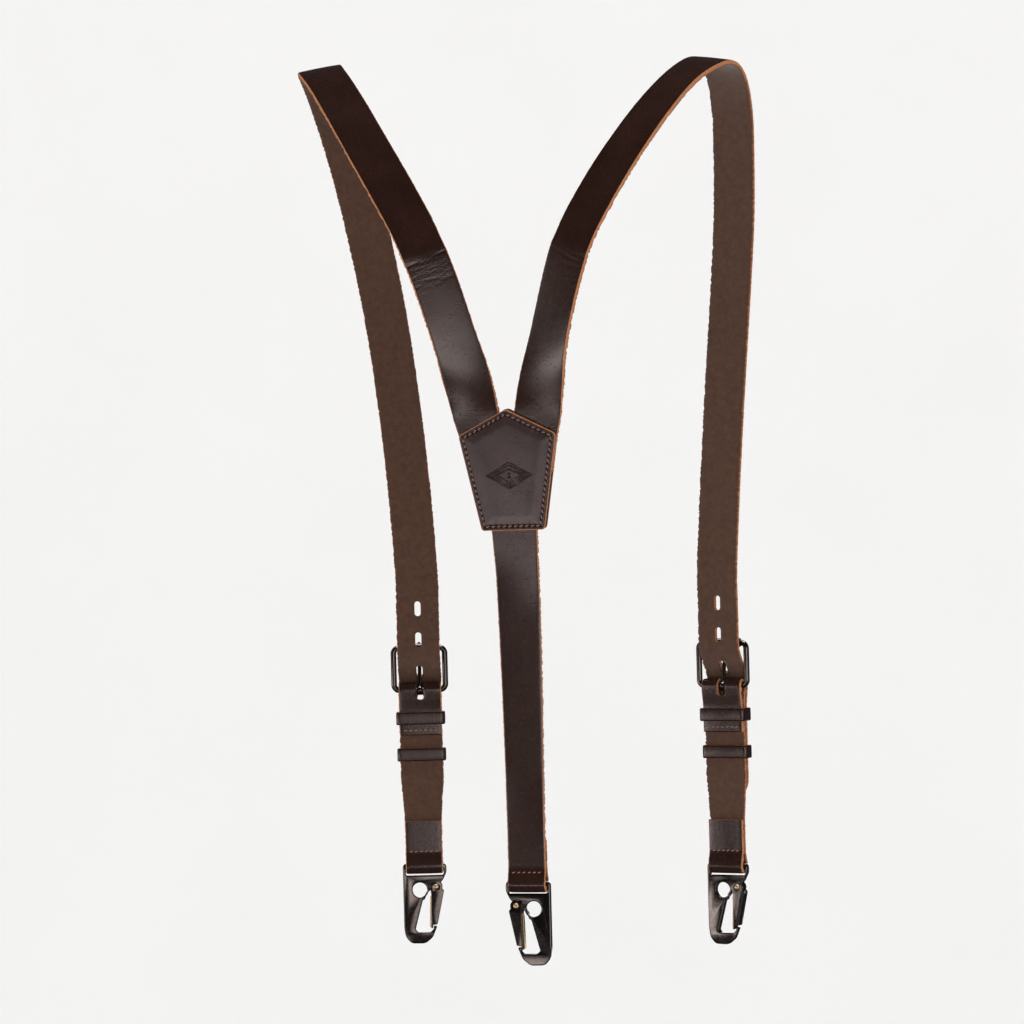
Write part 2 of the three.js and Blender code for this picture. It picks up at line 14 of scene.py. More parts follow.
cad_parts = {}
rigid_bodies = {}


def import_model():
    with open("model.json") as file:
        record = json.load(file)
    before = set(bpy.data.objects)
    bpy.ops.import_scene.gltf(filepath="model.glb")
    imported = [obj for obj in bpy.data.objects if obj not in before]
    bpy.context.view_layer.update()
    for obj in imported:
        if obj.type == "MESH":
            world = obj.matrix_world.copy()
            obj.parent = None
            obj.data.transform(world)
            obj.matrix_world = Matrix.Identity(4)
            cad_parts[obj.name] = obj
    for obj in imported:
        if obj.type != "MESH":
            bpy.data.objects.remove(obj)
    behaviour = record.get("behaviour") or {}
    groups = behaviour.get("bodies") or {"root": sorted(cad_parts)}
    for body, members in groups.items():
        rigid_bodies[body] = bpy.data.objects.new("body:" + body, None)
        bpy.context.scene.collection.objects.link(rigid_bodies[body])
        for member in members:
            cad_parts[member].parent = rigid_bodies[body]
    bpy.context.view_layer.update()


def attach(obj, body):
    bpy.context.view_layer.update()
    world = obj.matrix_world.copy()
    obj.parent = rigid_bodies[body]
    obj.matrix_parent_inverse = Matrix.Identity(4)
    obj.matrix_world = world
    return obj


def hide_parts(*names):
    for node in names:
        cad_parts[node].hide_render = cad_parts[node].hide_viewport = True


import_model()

MM = 0.001

# Camera
CAMERA_AZIMUTH = 15
CAMERA_ROLL = -1.5
CAMERA_TARGET = (0.2, -40, -303.4)
CAMERA_DISTANCE = 2600
CAMERA_WIDTH = 682.7  # how much the image spans at the target
CAMERA_SENSOR = 36

# Leather
STRAP_WIDTH = 30
STRAP_END_WIDTH = 26
YOKE_FLARE = 2  # how much wider each strap is where it leaves the yoke
YOKE_TRIM = 0.8  # how much is pared off each side of a shoulder strap's end inside the yoke
STRAP_THICKNESS = 3.2
DROP_THICKNESS = 2.8
PATCH_THICKNESS = 2.6
BACKING_THICKNESS = 2
KEEPER_THICKNESS = 1.8
KEEPER_HEIGHT = 9
LAYER_GAP = 0.3
TAIL_GAP = 0.35  # between a strap's tail and what it lies against
ALONG_STEP = 0.8  # between the rings of a strap's mesh
RIM_WIDTH = 2.4  # of the softly rolled border of a strap's smooth face
NARROW = 6  # half-width below which a strap's borders shrink with it
RAGGED = (-0.6, 0.36)  # the furthest that a ragged edge may lie in or out
FACE, EDGE, FLESH = range(3)  # a strap's three looks, by their place in its list of materials

# Yoke
YOKE_CENTRE = np.array([0, -40, -275])
YOKE_PITCH = math.radians(9)
PATCH_OUTLINE = [(0, 41), (-33.5, 24), (-21.6, -40.5), (21.6, -40.5), (33.5, 24)]
PATCH_CORNER_RADII = [2, 2.5, 2, 2, 2.5]
STITCH_INSET = 2.8
STITCH_PITCH = 3.9
THREAD_RADIUS = 0.42
AWL_MARK = 0.62  # square of the radius of the dent round an awl hole
ORNAMENT_HEIGHT = -3  # middle of the pressed lozenge, on the patch
ORNAMENT_DOT = 1.1
RING_REACH = 27.2  # inset at which the rings of the yoke's mesh would meet

# The right shoulder strap's centre line and the way its smooth face looks
SHOULDER_ROUTE = [
    (15.2, -40, -275, 0, -0.988, -0.156),
    (19.0, -43.96, -250, 0, -0.988, -0.156),
    (21.6, -46.18, -236, 0, -0.988, -0.156),
    (24.2, -48.39, -222, -0.14, -0.98, -0.15),
    (29.2, -52.1, -200, -0.34, -0.93, -0.14),
    (35.6, -55.7, -176, -0.41, -0.91, -0.12),
    (42.8, -58.8, -151, -0.4, -0.91, -0.1),
    (48.6, -60.8, -134, -0.38, -0.92, -0.07),
    (52.0, -60.95, -126, -0.36, -0.92, 0.09),
    (59.6, -59.2, -110, -0.34, -0.92, 0.16),
    (74.6, -55.2, -84, -0.31, -0.89, 0.28),
    (90.4, -48.0, -59, -0.28, -0.83, 0.42),
    (105.2, -38.0, -37, -0.2, -0.72, 0.62),
    (119.0, -25.5, -19, -0.06, -0.5, 0.85),
    (129.8, -11.0, -8.5, 0.11, -0.24, 0.96),
    (136.2, 4.0, -5, 0.2, 0.08, 0.97),
    (139.2, 20.0, -9, 0.26, 0.36, 0.89),
    (139.6, 36.0, -20, 0.27, 0.58, 0.76),
    (138.4, 52.0, -38, 0.27, 0.74, 0.6),
    (135.2, 68.0, -67, 0.26, 0.85, 0.42),
    (131.2, 82.0, -106, 0.25, 0.92, 0.28),
    (125.4, 92.5, -155, 0.245, 0.95, 0.16),
    (119.6, 98.2, -208, 0.242, 0.965, 0.08),
    (114.6, 100.9, -262, 0.242, 0.97, 0.03),
    (110.9, 101.5, -312, 0.242, 0.97, 0),
]
LEFT_RISE = 8  # the wearer's left shoulder stands a little higher and further out
LEFT_SPREAD = 4
BEND_TOP = -131  # height of the crosswise creases where a shoulder strap bends over the shoulder blade
BEND_FOOT = -152
CREASES = 20
LEFT_CREASE = 0.12  # their depth
RIGHT_CREASE = 0.06
FLARE_RISE = (-255, -238)  # heights between which a shoulder strap's flare at the yoke comes and goes
FLARE_FALL = (-215, -185)
PARED_END = (-268, -250)

# Back strap: [y, z] of its centre line below the yoke, and where it tapers
YOKE_HEIGHTS = (-276.2, -290, -305, -320)
BACK_ROUTE = [(-29.2, -346), (-26.2, -380), (-24.5, -425), (-24, -475)]
TAPER_TOP = -320
TAPER_RUN = 160
BACK_TWIST = math.radians(7)

# Front assemblies, measured from the buckle's heel bar
FRONT_YAW = math.radians(14)
HEEL_BAR = (110, 106, -428)
DROP_LENGTH = 125
FOLD_BACK = 32
TAIL_END = -80
TAIL_TIP = 15
TAIL_HEIGHTS = [78, 62, 48, *range(35, -21, -5), -30, -40, -50, -60, -70, TAIL_END]
HOLE_PITCH = 22
HOLE_LENGTH = 10.5
HOLE_WIDTH = 4.4
BUCKLED_HOLE = 13.8
HOLES = range(-2, 4)  # counted upwards or downwards from the one that the prong is in
FIXED_KEEPER = -20
LOOSE_KEEPER = -46
KEEPER_PLAY = 0.35

# Buckle
BAR_RADIUS = 2
FRAME_HALF_WIDTH = 18.2
FRAME_LENGTH = 30
FRAME_CORNER = 4
ROLLER_BORE = 2.3
ROLLER_RADIUS = 3.1
ROLLER_LENGTH = 28
PRONG_RADIUS = 1.4
PRONG_EYE_BORE = 2.35
PRONG_EYE_RADIUS = 3.6
PRONG_EYE_WIDTH = 3.6
PRONG_SLOT = 5.2
PRONG_SLOT_ENDS = (-7, 10)
PRONG_ROUTE = [(2.9, 0.3), (9, 1.36), (16, 2.42), (24, 3.7), (28.5, 4.5), (31.5, 4.72), (34, 4.3)]

# Hook, measured from the middle of the bar its strap is folded round
BACK_HOOK_BAR = (0, -22.25, -553)
BACK_FOLD_END = 29
FOLD_NECK = [(15, 0), (9.5, 0.15), (4.8, 1.5)]  # distance above a hook's bar, and how far each leg opens
HEEL_NECK = [(20, 0), (14, 0.15), (6, 1.4)]  # the same below a buckle's heel bar
FOLD_SEAM = (21.5, 7)  # width and number of holes
HEEL_SEAM = (25, 8)
HOOK_THICKNESS = 3.8
FOLD_BORE = 2.75
PIVOT = (-8, -14.9)
PIVOT_TAB_RADIUS = 3.9
PIVOT_EAR_RADIUS = 4.3
EYE = (3.7, -16.9)
EYE_RADIUS = 5.2
PIVOT_BORE = 1.65
GATE_THICKNESS = 6.4
GATE_INSIDE = 4.4
SPRING_WIDTH = 3.4
HOOK_CORNERS = [  # x, y and rounding of each corner, clockwise from the top left; the pivot's tab follows
    (-15.5, 2, 3.5),
    (15.5, 2, 3.5),
    (15.5, -43, 1.5),
    (14.6, -50, 2.4),
    (10.5, -54.8, 2.4),
    (0.5, -55, 2.4),
    (-4.9, -50.6, 2),
    (-8.1, -42.9, 1.1),
    (-5.5, -42.3, 1.1),
    (-5.4, -44.9, 0.6),
    (-3.6, -46.8, 0.6),
    (5.6, -46.8, 0.9),
    (7.4, -45, 0.9),
    (1.8, -24.4, 0.85),
    (0.2, -23.6, 0.85),
    (-1.2, -19.6, 1),
]
HOOK_SHOULDER = [(-13, -10, 1), (-15.5, -4.8, 1.5)]  # after the tab, back to the top left
GATE_BLADE = [
    (-13.3, -18.2, 0.5),
    (-8.3, -41.5, 0.5),
    (-5.2, -41.8, 0.3),
    (-4.9, -44.2, 0.4),
    (-3.75, -44.2, 0.4),
    (-4.4, -21.3, 1),
]

# Lamps: name, place, target, width, height, power and colour, in metres and watts
OVERHEAD = ("overhead", (0, 0.3, 2.6), (0, 0.3, -1.1), 4.2, 4.2, 140)
OBJECT_LAMPS = [
    ("low_middle", (-0.62, -2.4, -1.3), (0, 0, -0.35), 1.4, 0.36, 8, (1, 0.86, 0.85)),
    ("low_left", (1.2, -2.05, -0.6), (0, 0, -0.2), 1.6, 0.76, 16, (1, 0.86, 0.82)),
    ("low_right", (-1.9, -1.45, -0.75), (0, 0, -0.2), 1.4, 0.4, 11, (1, 0.88, 0.86)),
    ("low_rear", (0.3, 2.4, -1.2), (0, 0, -0.3), 1.6, 0.5, 5),
    ("left_side", (-2.3, -0.7, -0.2), (0, 0, -0.3), 0.7, 1.5, 3.5),
    ("right_side", (2.3, -0.7, -0.2), (0, 0, -0.3), 0.7, 1.5, 3.5),
]
METAL_LAMPS = [
    ("metal_top", (0, -0.2, 1.7), (0, -0.2, -0.5), 1.8, 1.8, 150),
    ("metal_rear", (-0.2, 2.4, 0.1), (0, 0, -0.5), 1.6, 1.0, 18),
]

RNG = np.random.default_rng(7)


# ---- materials


class Shader:
    """A Principled material and the few node shorthands used below."""

    def __init__(self, name, **sockets):
        self.material = bpy.data.materials.new(name)
        self.material.use_nodes = True
        self.tree = self.material.node_tree
        self.surface = next(n for n in self.tree.nodes if n.type == "BSDF_PRINCIPLED")
        for socket, value in sockets.items():
            self.surface.inputs[socket.replace("_", " ")].default_value = value
        self.place = self.tree.nodes.new("ShaderNodeTexCoord").outputs["Object"]

    def plug(self, value, socket):
        """Links a socket to another one, or sets it to a plain value."""
        if isinstance(value, bpy.types.NodeSocket):
            self.tree.links.new(value, socket)
        else:
            socket.default_value = value

    def node(self, kind, **inputs):
        made = self.tree.nodes.new("ShaderNode" + kind)
        for socket, value in inputs.items():
            self.plug(value, made.inputs[socket.replace("_", " ")])
        return made

    def noise(self, scale, detail=3, roughness=0.55):
        made = self.node("TexNoise", Vector=self.place, Scale=scale, Detail=detail, Roughness=roughness)
        return made.outputs["Fac"]

    def pebbles(self, scale):
        return self.node("TexVoronoi", Vector=self.place, Scale=scale).outputs["Distance"]

    def painted(self, name):
        """A value that the mesh carries at each of its points."""
        made = self.tree.nodes.new("ShaderNodeAttribute")
        made.attribute_name = name
        return made.outputs["Fac"]

    def ramp(self, factor, *stops):
        made = self.node("ValToRGB", Fac=factor)
        ends = made.color_ramp.elements
        while len(ends) < len(stops):
            ends.new(0.5)
        for end, (position, colour) in zip(ends, stops):
            end.position = position
            end.color = (*colour, 1) if isinstance(colour, tuple) else (colour,) * 3 + (1,)
        return made.outputs["Color"]

    def mix(self, factor, first, second):
        made = self.tree.nodes.new("ShaderNodeMix")
        made.data_type = "RGBA"
        self.plug(factor, made.inputs[0])
        for socket, colour in ((made.inputs[6], first), (made.inputs[7], second)):
            self.plug((*colour, 1) if isinstance(colour, tuple) else colour, socket)
        return made.outputs[2]

    def maths(self, operation, first, second):
        made = self.tree.nodes.new("ShaderNodeMath")
        made.operation = operation
        self.plug(first, made.inputs[0])
        self.plug(second, made.inputs[1])
        return made.outputs[0]

    def bump(self, *layers):
        """Layers of relief, coarse to fine: each is (height, strength, distance in millimetres)."""
        normal = None
        for height, strength, distance in layers:
            made = self.node("Bump", Height=height, Strength=strength, Distance=distance * MM)
            if normal:
                self.tree.links.new(normal, made.inputs["Normal"])
            normal = made.outputs["Normal"]
        self.feed("Normal", normal)

    def feed(self, socket, value):
        self.tree.links.new(value, self.surface.inputs[socket])


def smooth_leather(name, dark, light, worn):
    """Waxed pull-up leather: mottled, finely pebbled, with painted shade where its rim value is high."""
    s = Shader(name, IOR=1.5)
    clouds = s.noise(38, 4, 0.6)
    flecks = s.noise(1500, 2, 0.7)
    colour = s.ramp(clouds, (0.3, dark), (0.7, light))
    colour = s.mix(s.ramp(flecks, (0.62, 0.0), (0.8, 0.45)), colour, worn)
    # painted shade: the rim value darkens the rolled border of the face and the awl holes, and the pressed
    # lozenge too
    colour = s.mix(s.maths("MULTIPLY", s.painted("rim"), 0.6), colour, tuple(0.45 * c for c in dark))
    s.feed("Base Color", colour)
    s.feed("Roughness", s.ramp(s.noise(420, 3), (0.3, 0.22), (0.75, 0.29)))
    grain = s.maths("ADD", s.maths("MULTIPLY", s.painted("grain"), 0.75), 0.16)
    s.bump(
        (s.noise(120, 2), 0.4, 0.08),
        (s.pebbles(900), grain, 0.13),
        (s.noise(3000, 2), 0.3, 0.04),
    )
    return s.material


def raw_edge(name):
    """The cut edge of the hide: tan fibres, darker where the dye has soaked in from both faces."""
    s = Shader(name, IOR=1.4)
    fibres = s.noise(1300, 4, 0.7)
    tans = [(0.28, (0.24, 0.085, 0.034)), (0.5, (0.44, 0.18, 0.075)), (0.72, (0.6, 0.3, 0.15))]
    tan = s.ramp(fibres, *tans)
    soaked = s.ramp(s.painted("depth"), (0.0, 0.25), (0.2, 0.0), (0.66, 0.1), (0.95, 0.8))
    s.feed("Base Color", s.mix(soaked, tan, (0.075, 0.03, 0.015)))
    s.surface.inputs["Roughness"].default_value = 0.88
    s.bump((s.noise(900, 4, 0.7), 0.8, 0.3), (s.noise(4200, 2), 0.5, 0.08))
    return s.material


def suede(name, dark, light):
    """The flesh side of the hide: napped, with loose fibres that lie in patches."""
    s = Shader(name, IOR=1.4, Roughness=0.93, Sheen_Weight=0.25, Sheen_Roughness=0.5)
    nap = s.noise(240, 5, 0.72)
    s.feed("Base Color", s.mix(s.noise(2600, 2), s.ramp(nap, (0.3, dark), (0.7, light)), dark))
    s.bump((nap, 0.5, 0.35), (s.noise(3000, 3, 0.7), 0.7, 0.12))
    return s.material


def thread_material():
    """Waxed thread with a fine ridged twist."""
    s = Shader("waxed_thread", IOR=1.45, Roughness=0.62, Sheen_Weight=0.2)
    strands = s.noise(2300, 2, 0.5)
    s.feed("Base Color", s.ramp(strands, (0.3, (0.12, 0.055, 0.042)), (0.7, (0.3, 0.165, 0.13))))
    s.bump((strands, 0.8, 0.14))
    return s.material


def plated(name, low, high, roughness):
    """Polished plating with faint clouding and fine handling marks."""
    s = Shader(name, Metallic=1.0)
    s.feed("Base Color", s.ramp(s.noise(60, 3), (0.3, low), (0.7, high)))
    s.feed("Roughness", s.ramp(s.noise(700, 4, 0.65), (0.35, roughness), (0.75, roughness + 0.13)))
    s.bump((s.noise(320, 2), 0.12, 0.05), (s.noise(3500, 3), 0.08, 0.02))
    return s.material


def studio_paper():
    """Matt pale paper that glows a little, so that it looks even."""
    s = Shader("studio_paper", Roughness=0.95, Emission_Color=(1, 1, 1, 1), Emission_Strength=0.3)
    s.feed("Base Color", s.ramp(s.noise(3, 2), (0.3, (0.71, 0.705, 0.7)), (0.7, (0.73, 0.725, 0.72))))
    return s.material


LEATHER = smooth_leather(
    "dark_leather",
    dark=(0.0155, 0.0055, 0.0036),
    light=(0.0235, 0.009, 0.0058),
    worn=(0.045, 0.02, 0.0125),
)
PATCH_LEATHER = smooth_leather(
    "patch_leather",
    dark=(0.02, 0.0095, 0.0082),
    light=(0.028, 0.014, 0.0125),
    worn=(0.045, 0.025, 0.021),
)
RAW_EDGE = raw_edge("raw_edge")
SUEDE = suede("flesh_side", (0.05, 0.023, 0.013), (0.12, 0.058, 0.034))
THREAD = thread_material()
NICKEL = plated("black_nickel_plate", (0.058, 0.053, 0.05), (0.085, 0.078, 0.073), 0.1)
BRASS = plated("worn_brass", (0.5, 0.37, 0.2), (0.66, 0.52, 0.31), 0.26)
STRAP_LOOKS = [LEATHER, RAW_EDGE, SUEDE]


# ---- meshes


def unit(v):
    return v / np.linalg.norm(v, axis=-1, keepdims=True)


def smoothstep(x, low, high):
    t = np.clip((x - low) / (high - low), 0, 1)
    return t * t * (3 - 2 * t)


def make_object(name, vertices, faces, looks, face_looks=None, sharp=None, paint=None):
    """A mesh from millimetre vertices, turned outwards, with values painted on its points."""
    mesh = bpy.data.meshes.new(name)
    mesh.from_pydata((np.asarray(vertices) * MM).tolist(), [], faces)
    for look in looks:
        mesh.materials.append(look)
    if face_looks is not None:
        mesh.polygons.foreach_set("material_index", face_looks)
    for key, values in (paint or {}).items():
        mesh.attributes.new(key, "FLOAT", "POINT").data.foreach_set("value", values)
    turn_outwards(mesh)
    return add_object(name, mesh, sharp)


def turn_outwards(mesh, weld=0):
    """Turns every face outwards, after joining points that lie within weld of each other."""
    edit = bmesh.new()
    edit.from_mesh(mesh)
    if weld:
        bmesh.ops.remove_doubles(edit, verts=edit.verts, dist=weld)
    bmesh.ops.recalc_face_normals(edit, faces=edit.faces)
    edit.to_mesh(mesh)
    edit.free()


def add_object(name, mesh, sharp=None):
    """A smooth-shaded object; edges bent by more than sharp degrees stay crisp."""
    mesh.polygons.foreach_set("use_smooth", [True] * len(mesh.polygons))
    if sharp:
        mesh.set_sharp_from_angle(angle=math.radians(sharp))
    made = bpy.data.objects.new(name, mesh)
    bpy.context.collection.objects.link(made)
    return made


def evaluated_mesh(source):
    view = bpy.context.evaluated_depsgraph_get()
    return bpy.data.meshes.new_from_object(source.evaluated_get(view), depsgraph=view)


def cut(target, cutter):
    """Takes cutter away from target; the new walls take the cutter's material."""
    modifier = target.modifiers.new("cut", "BOOLEAN")
    modifier.operation = "DIFFERENCE"
    modifier.solver = "EXACT"
    modifier.object = cutter
    modifier.material_mode = "TRANSFER"
    mesh = evaluated_mesh(target)
    target.modifiers.clear()
    target.data = mesh
    bpy.data.objects.remove(cutter)


def tube_faces(rings, sides, closed=False):
    """Quads of a tube whose points are listed ring by ring."""
    faces = []
    for i in range(rings if closed else rings - 1):
        here, there = i * sides, (i + 1) % rings * sides
        for j in range(sides):
            k = (j + 1) % sides
            faces.append((here + j, here + k, there + k, there + j))
    return faces


def end_caps(rings, sides):
    last = (rings - 1) * sides
    return [tuple(range(sides)), tuple(range(last, last + sides))]


def transform(matrix, points):
    m = np.array(matrix)
    return np.asarray(points, float) @ m[:3, :3].T + m[:3, 3]


def hanging_frame(origin, out):
    """Axes of an assembly that hangs upright: x across, y up, z out of the smooth face."""
    up = Vector((0, 0, 1))
    across = up.cross(Vector(out))
    return Matrix.Translation(origin) @ Matrix((across, up, Vector(out))).transposed().to_4x4()


def front_frame(side):
    out = (side * math.sin(FRONT_YAW), math.cos(FRONT_YAW), 0)
    return hanging_frame((side * HEEL_BAR[0], HEEL_BAR[1], HEEL_BAR[2]), out)


def yoke_frame(offset):
    """Axes of a flat yoke piece whose middle plane lies offset out from the straps' middle plane."""
    across = Vector((1, 0, 0))
    up = Vector((0, -math.sin(YOKE_PITCH), math.cos(YOKE_PITCH)))
    out = across.cross(up)
    turn = Matrix((across, up, out)).transposed().to_4x4()
    return Matrix.Translation(Vector(YOKE_CENTRE) + offset * out) @ turn


def catmull_rom(points, per_span=60):
    """A smooth line through all the points."""
    p = np.asarray(points, float)
    p = np.vstack([2 * p[0] - p[1], p, 2 * p[-1] - p[-2]])
    t = np.linspace(0, 1, per_span, endpoint=False)[:, None]
    spans = [
        0.5 * (2 * b + (c - a) * t + (2 * a - 5 * b + 4 * c - d) * t**2 + (3 * b - a - 3 * c + d) * t**3)
        for a, b, c, d in zip(p, p[1:], p[2:], p[3:])
    ]
    return np.vstack([*spans, p[-2]])


def turn(y, z, radius, start, end, count):
    """Points of an arc between two angles in degrees."""
    angles = np.radians(np.linspace(start, end, count + 1))
    return [(y + radius * math.cos(a), z + radius * math.sin(a)) for a in angles]


def resampled(at, run, points):
    """Points at given distances along a line, where run holds the line's own distances."""
    return np.column_stack([np.interp(at, run, column) for column in points.T])


def distances(line):
    return np.concatenate([[0], np.cumsum(np.linalg.norm(np.diff(line, axis=0), axis=1))])


class Route:
    """A strap's centre line in even steps, shorter ones in a rounded tip, and its two directions."""

    def __init__(self, points, faces, tip=0):
        line, look = catmull_rom(points), catmull_rom(faces)
        run = distances(line)
        self.length = run[-1]
        at = np.arange(0, self.length - tip - 0.3 * ALONG_STEP, ALONG_STEP)
        rest = [self.length]
        if tip:
            rest = self.length - tip * (1 - np.cos(np.radians(np.linspace(90, 4, 22))))
        self.at = np.concatenate([at, rest])
        self.centre = resampled(self.at, run, line)
        face = resampled(self.at, run, look)
        tangent = unit(np.gradient(self.centre, self.at, axis=0))
        self.across = unit(np.cross(tangent, face))
        self.normal = unit(np.cross(self.across, tangent))

    def moved(self, matrix):
        m = np.array(matrix)
        self.centre = transform(matrix, self.centre)
        self.across = self.across @ m[:3, :3].T
        self.normal = self.normal @ m[:3, :3].T
        return self

    def twist(self, angles):
        cos, sin = np.cos(angles)[:, None], np.sin(angles)[:, None]
        across, normal = self.across, self.normal
        self.across = cos * across + sin * normal
        self.normal = cos * normal - sin * across


def flat_route(points):
    """A route in the x = 0 plane from [y, z] points."""
    line = np.array([(0, y, z) for y, z in points])
    slope = np.gradient(line, axis=0)
    faces = unit(np.column_stack([np.zeros(len(line)), slope[:, 2], -slope[:, 1]]))
    return Route(line, faces)


def strap_rows(t):
    """One side of a strap's section, from the smooth face round the cut edge to the flesh side.

    Each row is (distance in from the edge, height, look of the strip that follows, raggedness).
    """
    return [
        (RIM_WIDTH, t, FACE, 0),
        (1.25, t - 0.04, FACE, 0),
        (0.5, t - 0.14, EDGE, 0.03),
        (0.14, t - 0.4, EDGE, 0.06),
        (0, t - 0.85, EDGE, 0.08),
        (-0.06, 0.1, EDGE, 0.12),
        (-0.02, -t + 0.95, EDGE, 0.2),
        (0.02, -t + 0.35, EDGE, 0.27),
        (0.45, -t, FLESH, 0.3),
        (RIM_WIDTH, -t, FLESH, 0),
    ]


def strap_columns(half, tight, thickness):
    """A strap's section, once round it: (how far across, height, look, raggedness)."""
    side = strap_rows(thickness / 2)
    columns = []
    for share in np.linspace(-1, 1, 13)[1:-1]:
        columns.append((share * (half - RIM_WIDTH * tight), thickness / 2, FACE, 0))
    for inset, height, look, ragged in side:
        columns.append((half - inset * tight, height, look, ragged))
    for share in np.linspace(1, -1, 7)[1:-1]:
        columns.append((share * (half - RIM_WIDTH * tight), -thickness / 2, FLESH, 0))
    looks_up = [row[2] for row in side[:-1]][::-1]
    for (inset, height, _, ragged), look in zip(side[::-1], [*looks_up, FACE]):
        columns.append((-(half - inset * tight), height, look, ragged))
    return columns


def strap(name, route, half, thickness, relief=None, cup=0.22, seed=1, grain=0.2):
    """A leather strap with a rolled smooth face, a raw cut edge and a ragged flesh side.

    Its edges curl down by cup, relief adds to its face's height, and grain is how pebbled the face is.
    """
    rng = np.random.default_rng(seed)
    count = len(route.at)
    half = np.broadcast_to(half, count).astype(float)
    tight = np.clip(half / NARROW, 0, 1)
    columns = strap_columns(half, tight, thickness)
    grit = {1: rng.normal(size=count), -1: rng.normal(size=count)}
    for key, values in grit.items():
        grit[key] = 0.8 * values + 0.25 * np.convolve(values, np.ones(3) / 1.7, "same")
    rings = np.empty((count, len(columns), 3))
    rim = np.empty((count, len(columns)))
    depth = np.empty((count, len(columns)))
    for j, (u, v, _, ragged) in enumerate(columns):
        sign = 1 if np.sum(u) > 0 else -1
        rough = np.clip(ragged * (grit[sign] + 0.5 * rng.normal(size=count)), *RAGGED)
        lift = -cup * (u / half) ** 2
        if relief is not None and v > 0:
            lift = lift + relief(route, u)
        spread = u + sign * rough * tight
        height = v + lift
        rings[:, j] = route.centre + route.across * spread[:, None] + route.normal * height[:, None]
        # rim: painted shade, darkest at the edge of the smooth face where it rolls over
        rim[:, j] = np.exp(-np.maximum(half - np.abs(u), 0)) if v > 0 else 0
        depth[:, j] = 0.5 - v / thickness
    faces = tube_faces(count, len(columns)) + end_caps(count, len(columns))
    face_looks = [c[2] for c in columns] * (count - 1) + [EDGE, EDGE]
    coarse = np.repeat(np.broadcast_to(grain, count).astype(float), len(columns))
    paint = {"rim": rim.ravel(), "depth": depth.ravel(), "grain": coarse}
    return make_object(name, rings.reshape(-1, 3), faces, STRAP_LOOKS, face_looks, paint=paint)


def prism(outline, depth, matrix):
    """Vertices and faces of a flat outline drawn through a depth along its frame's z axis."""
    count = len(outline)
    ends = [np.column_stack([outline, np.full(count, z)]) for z in (-depth / 2, depth / 2)]
    return transform(matrix, np.vstack(ends)), tube_faces(2, count) + end_caps(2, count)


def evenly(loop, step, spare=0):
    """Points at even steps round a closed outline, the last one at least spare from the first."""
    line = np.vstack([loop, loop[:1]])
    run = distances(line)
    return resampled(np.arange(0, run[-1] - spare, step), run, line)


def rounded(corners, radii, steps=7):
    """An outline whose corners are rounded, in the order given."""
    corners = np.asarray(corners, float)
    points = []
    for i, corner in enumerate(corners):
        if radii[i] == 0:
            points.append(corner)
            continue
        back = corner + radii[i] * unit(corners[i - 1] - corner)
        on = corner + radii[i] * unit(corners[(i + 1) % len(corners)] - corner)
        for t in np.linspace(0, 1, steps):
            points.append((1 - t) ** 2 * back + 2 * t * (1 - t) * corner + t * t * on)
    return np.array(points)


def full_turn(steps):
    return np.linspace(0, 2 * math.pi, steps, endpoint=False)


def circle(centre, radius, count):
    angles = full_turn(count)
    return np.column_stack([centre[0] + radius * np.cos(angles), centre[1] + radius * np.sin(angles)])


def plate(name, outline, holes, thickness, bevel, matrix, look):
    """A flat casting with softly rounded edges, from a filled 2-D curve."""
    curve = bpy.data.curves.new(name, "CURVE")
    curve.dimensions = "2D"
    curve.fill_mode = "BOTH"
    curve.extrude = thickness / 2 - bevel
    curve.bevel_depth = bevel
    curve.bevel_resolution = 4
    curve.offset = -bevel
    for loop in [outline, *holes]:
        spline = curve.splines.new("POLY")
        spline.points.add(len(loop) - 1)
        spline.points.foreach_set("co", [c for x, y in loop for c in (x, y, 0, 1)])
        spline.use_cyclic_u = True
    drawn = bpy.data.objects.new(name + "_drawn", curve)
    bpy.context.collection.objects.link(drawn)
    mesh = evaluated_mesh(drawn)
    bpy.data.objects.remove(drawn)
    mesh.name = name
    turn_outwards(mesh, weld=0.002)
    mesh.transform(matrix)
    mesh.transform(Matrix.Scale(MM, 4))
    mesh.materials.clear()
    mesh.materials.append(look)
    return add_object(name, mesh, sharp=50)


def lathe(profile, matrix, steps):
    """Vertices and faces of a closed [radius, along x] profile turned round the frame's x axis."""
    angles = full_turn(steps)
    points = [(a, r * math.cos(t), r * math.sin(t)) for t in angles for r, a in profile]
    return transform(matrix, points), tube_faces(steps, len(profile), closed=True)


def joined(parts):
    """Several lists of vertices and faces as one."""
    vertices, faces = [], []
    for points, polygons in parts:
        start = sum(len(v) for v in vertices)
        vertices.append(np.asarray(points))
        faces += [tuple(start + i for i in f) for f in polygons]
    return np.vstack(vertices), faces


def capsule(path, radii, across, sides=8):
    """A closed round-ended thread or rod along a path of points."""
    path = np.asarray(path, float)
    tangent = unit(np.gradient(path, axis=0))
    side = unit(np.cross(tangent, across))
    other = np.cross(tangent, side)
    angles = full_turn(sides)
    rings = [
        p + r * (math.cos(a) * s + math.sin(a) * o)
        for p, r, s, o in zip(path, radii, side, other)
        for a in angles
    ]
    return np.array(rings), tube_faces(len(path), sides) + end_caps(len(path), sides)


# ---- pieces


def finish_piece(piece, body, slot, *nodes):
    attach(piece, body)
    if nodes:
        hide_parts(*nodes)


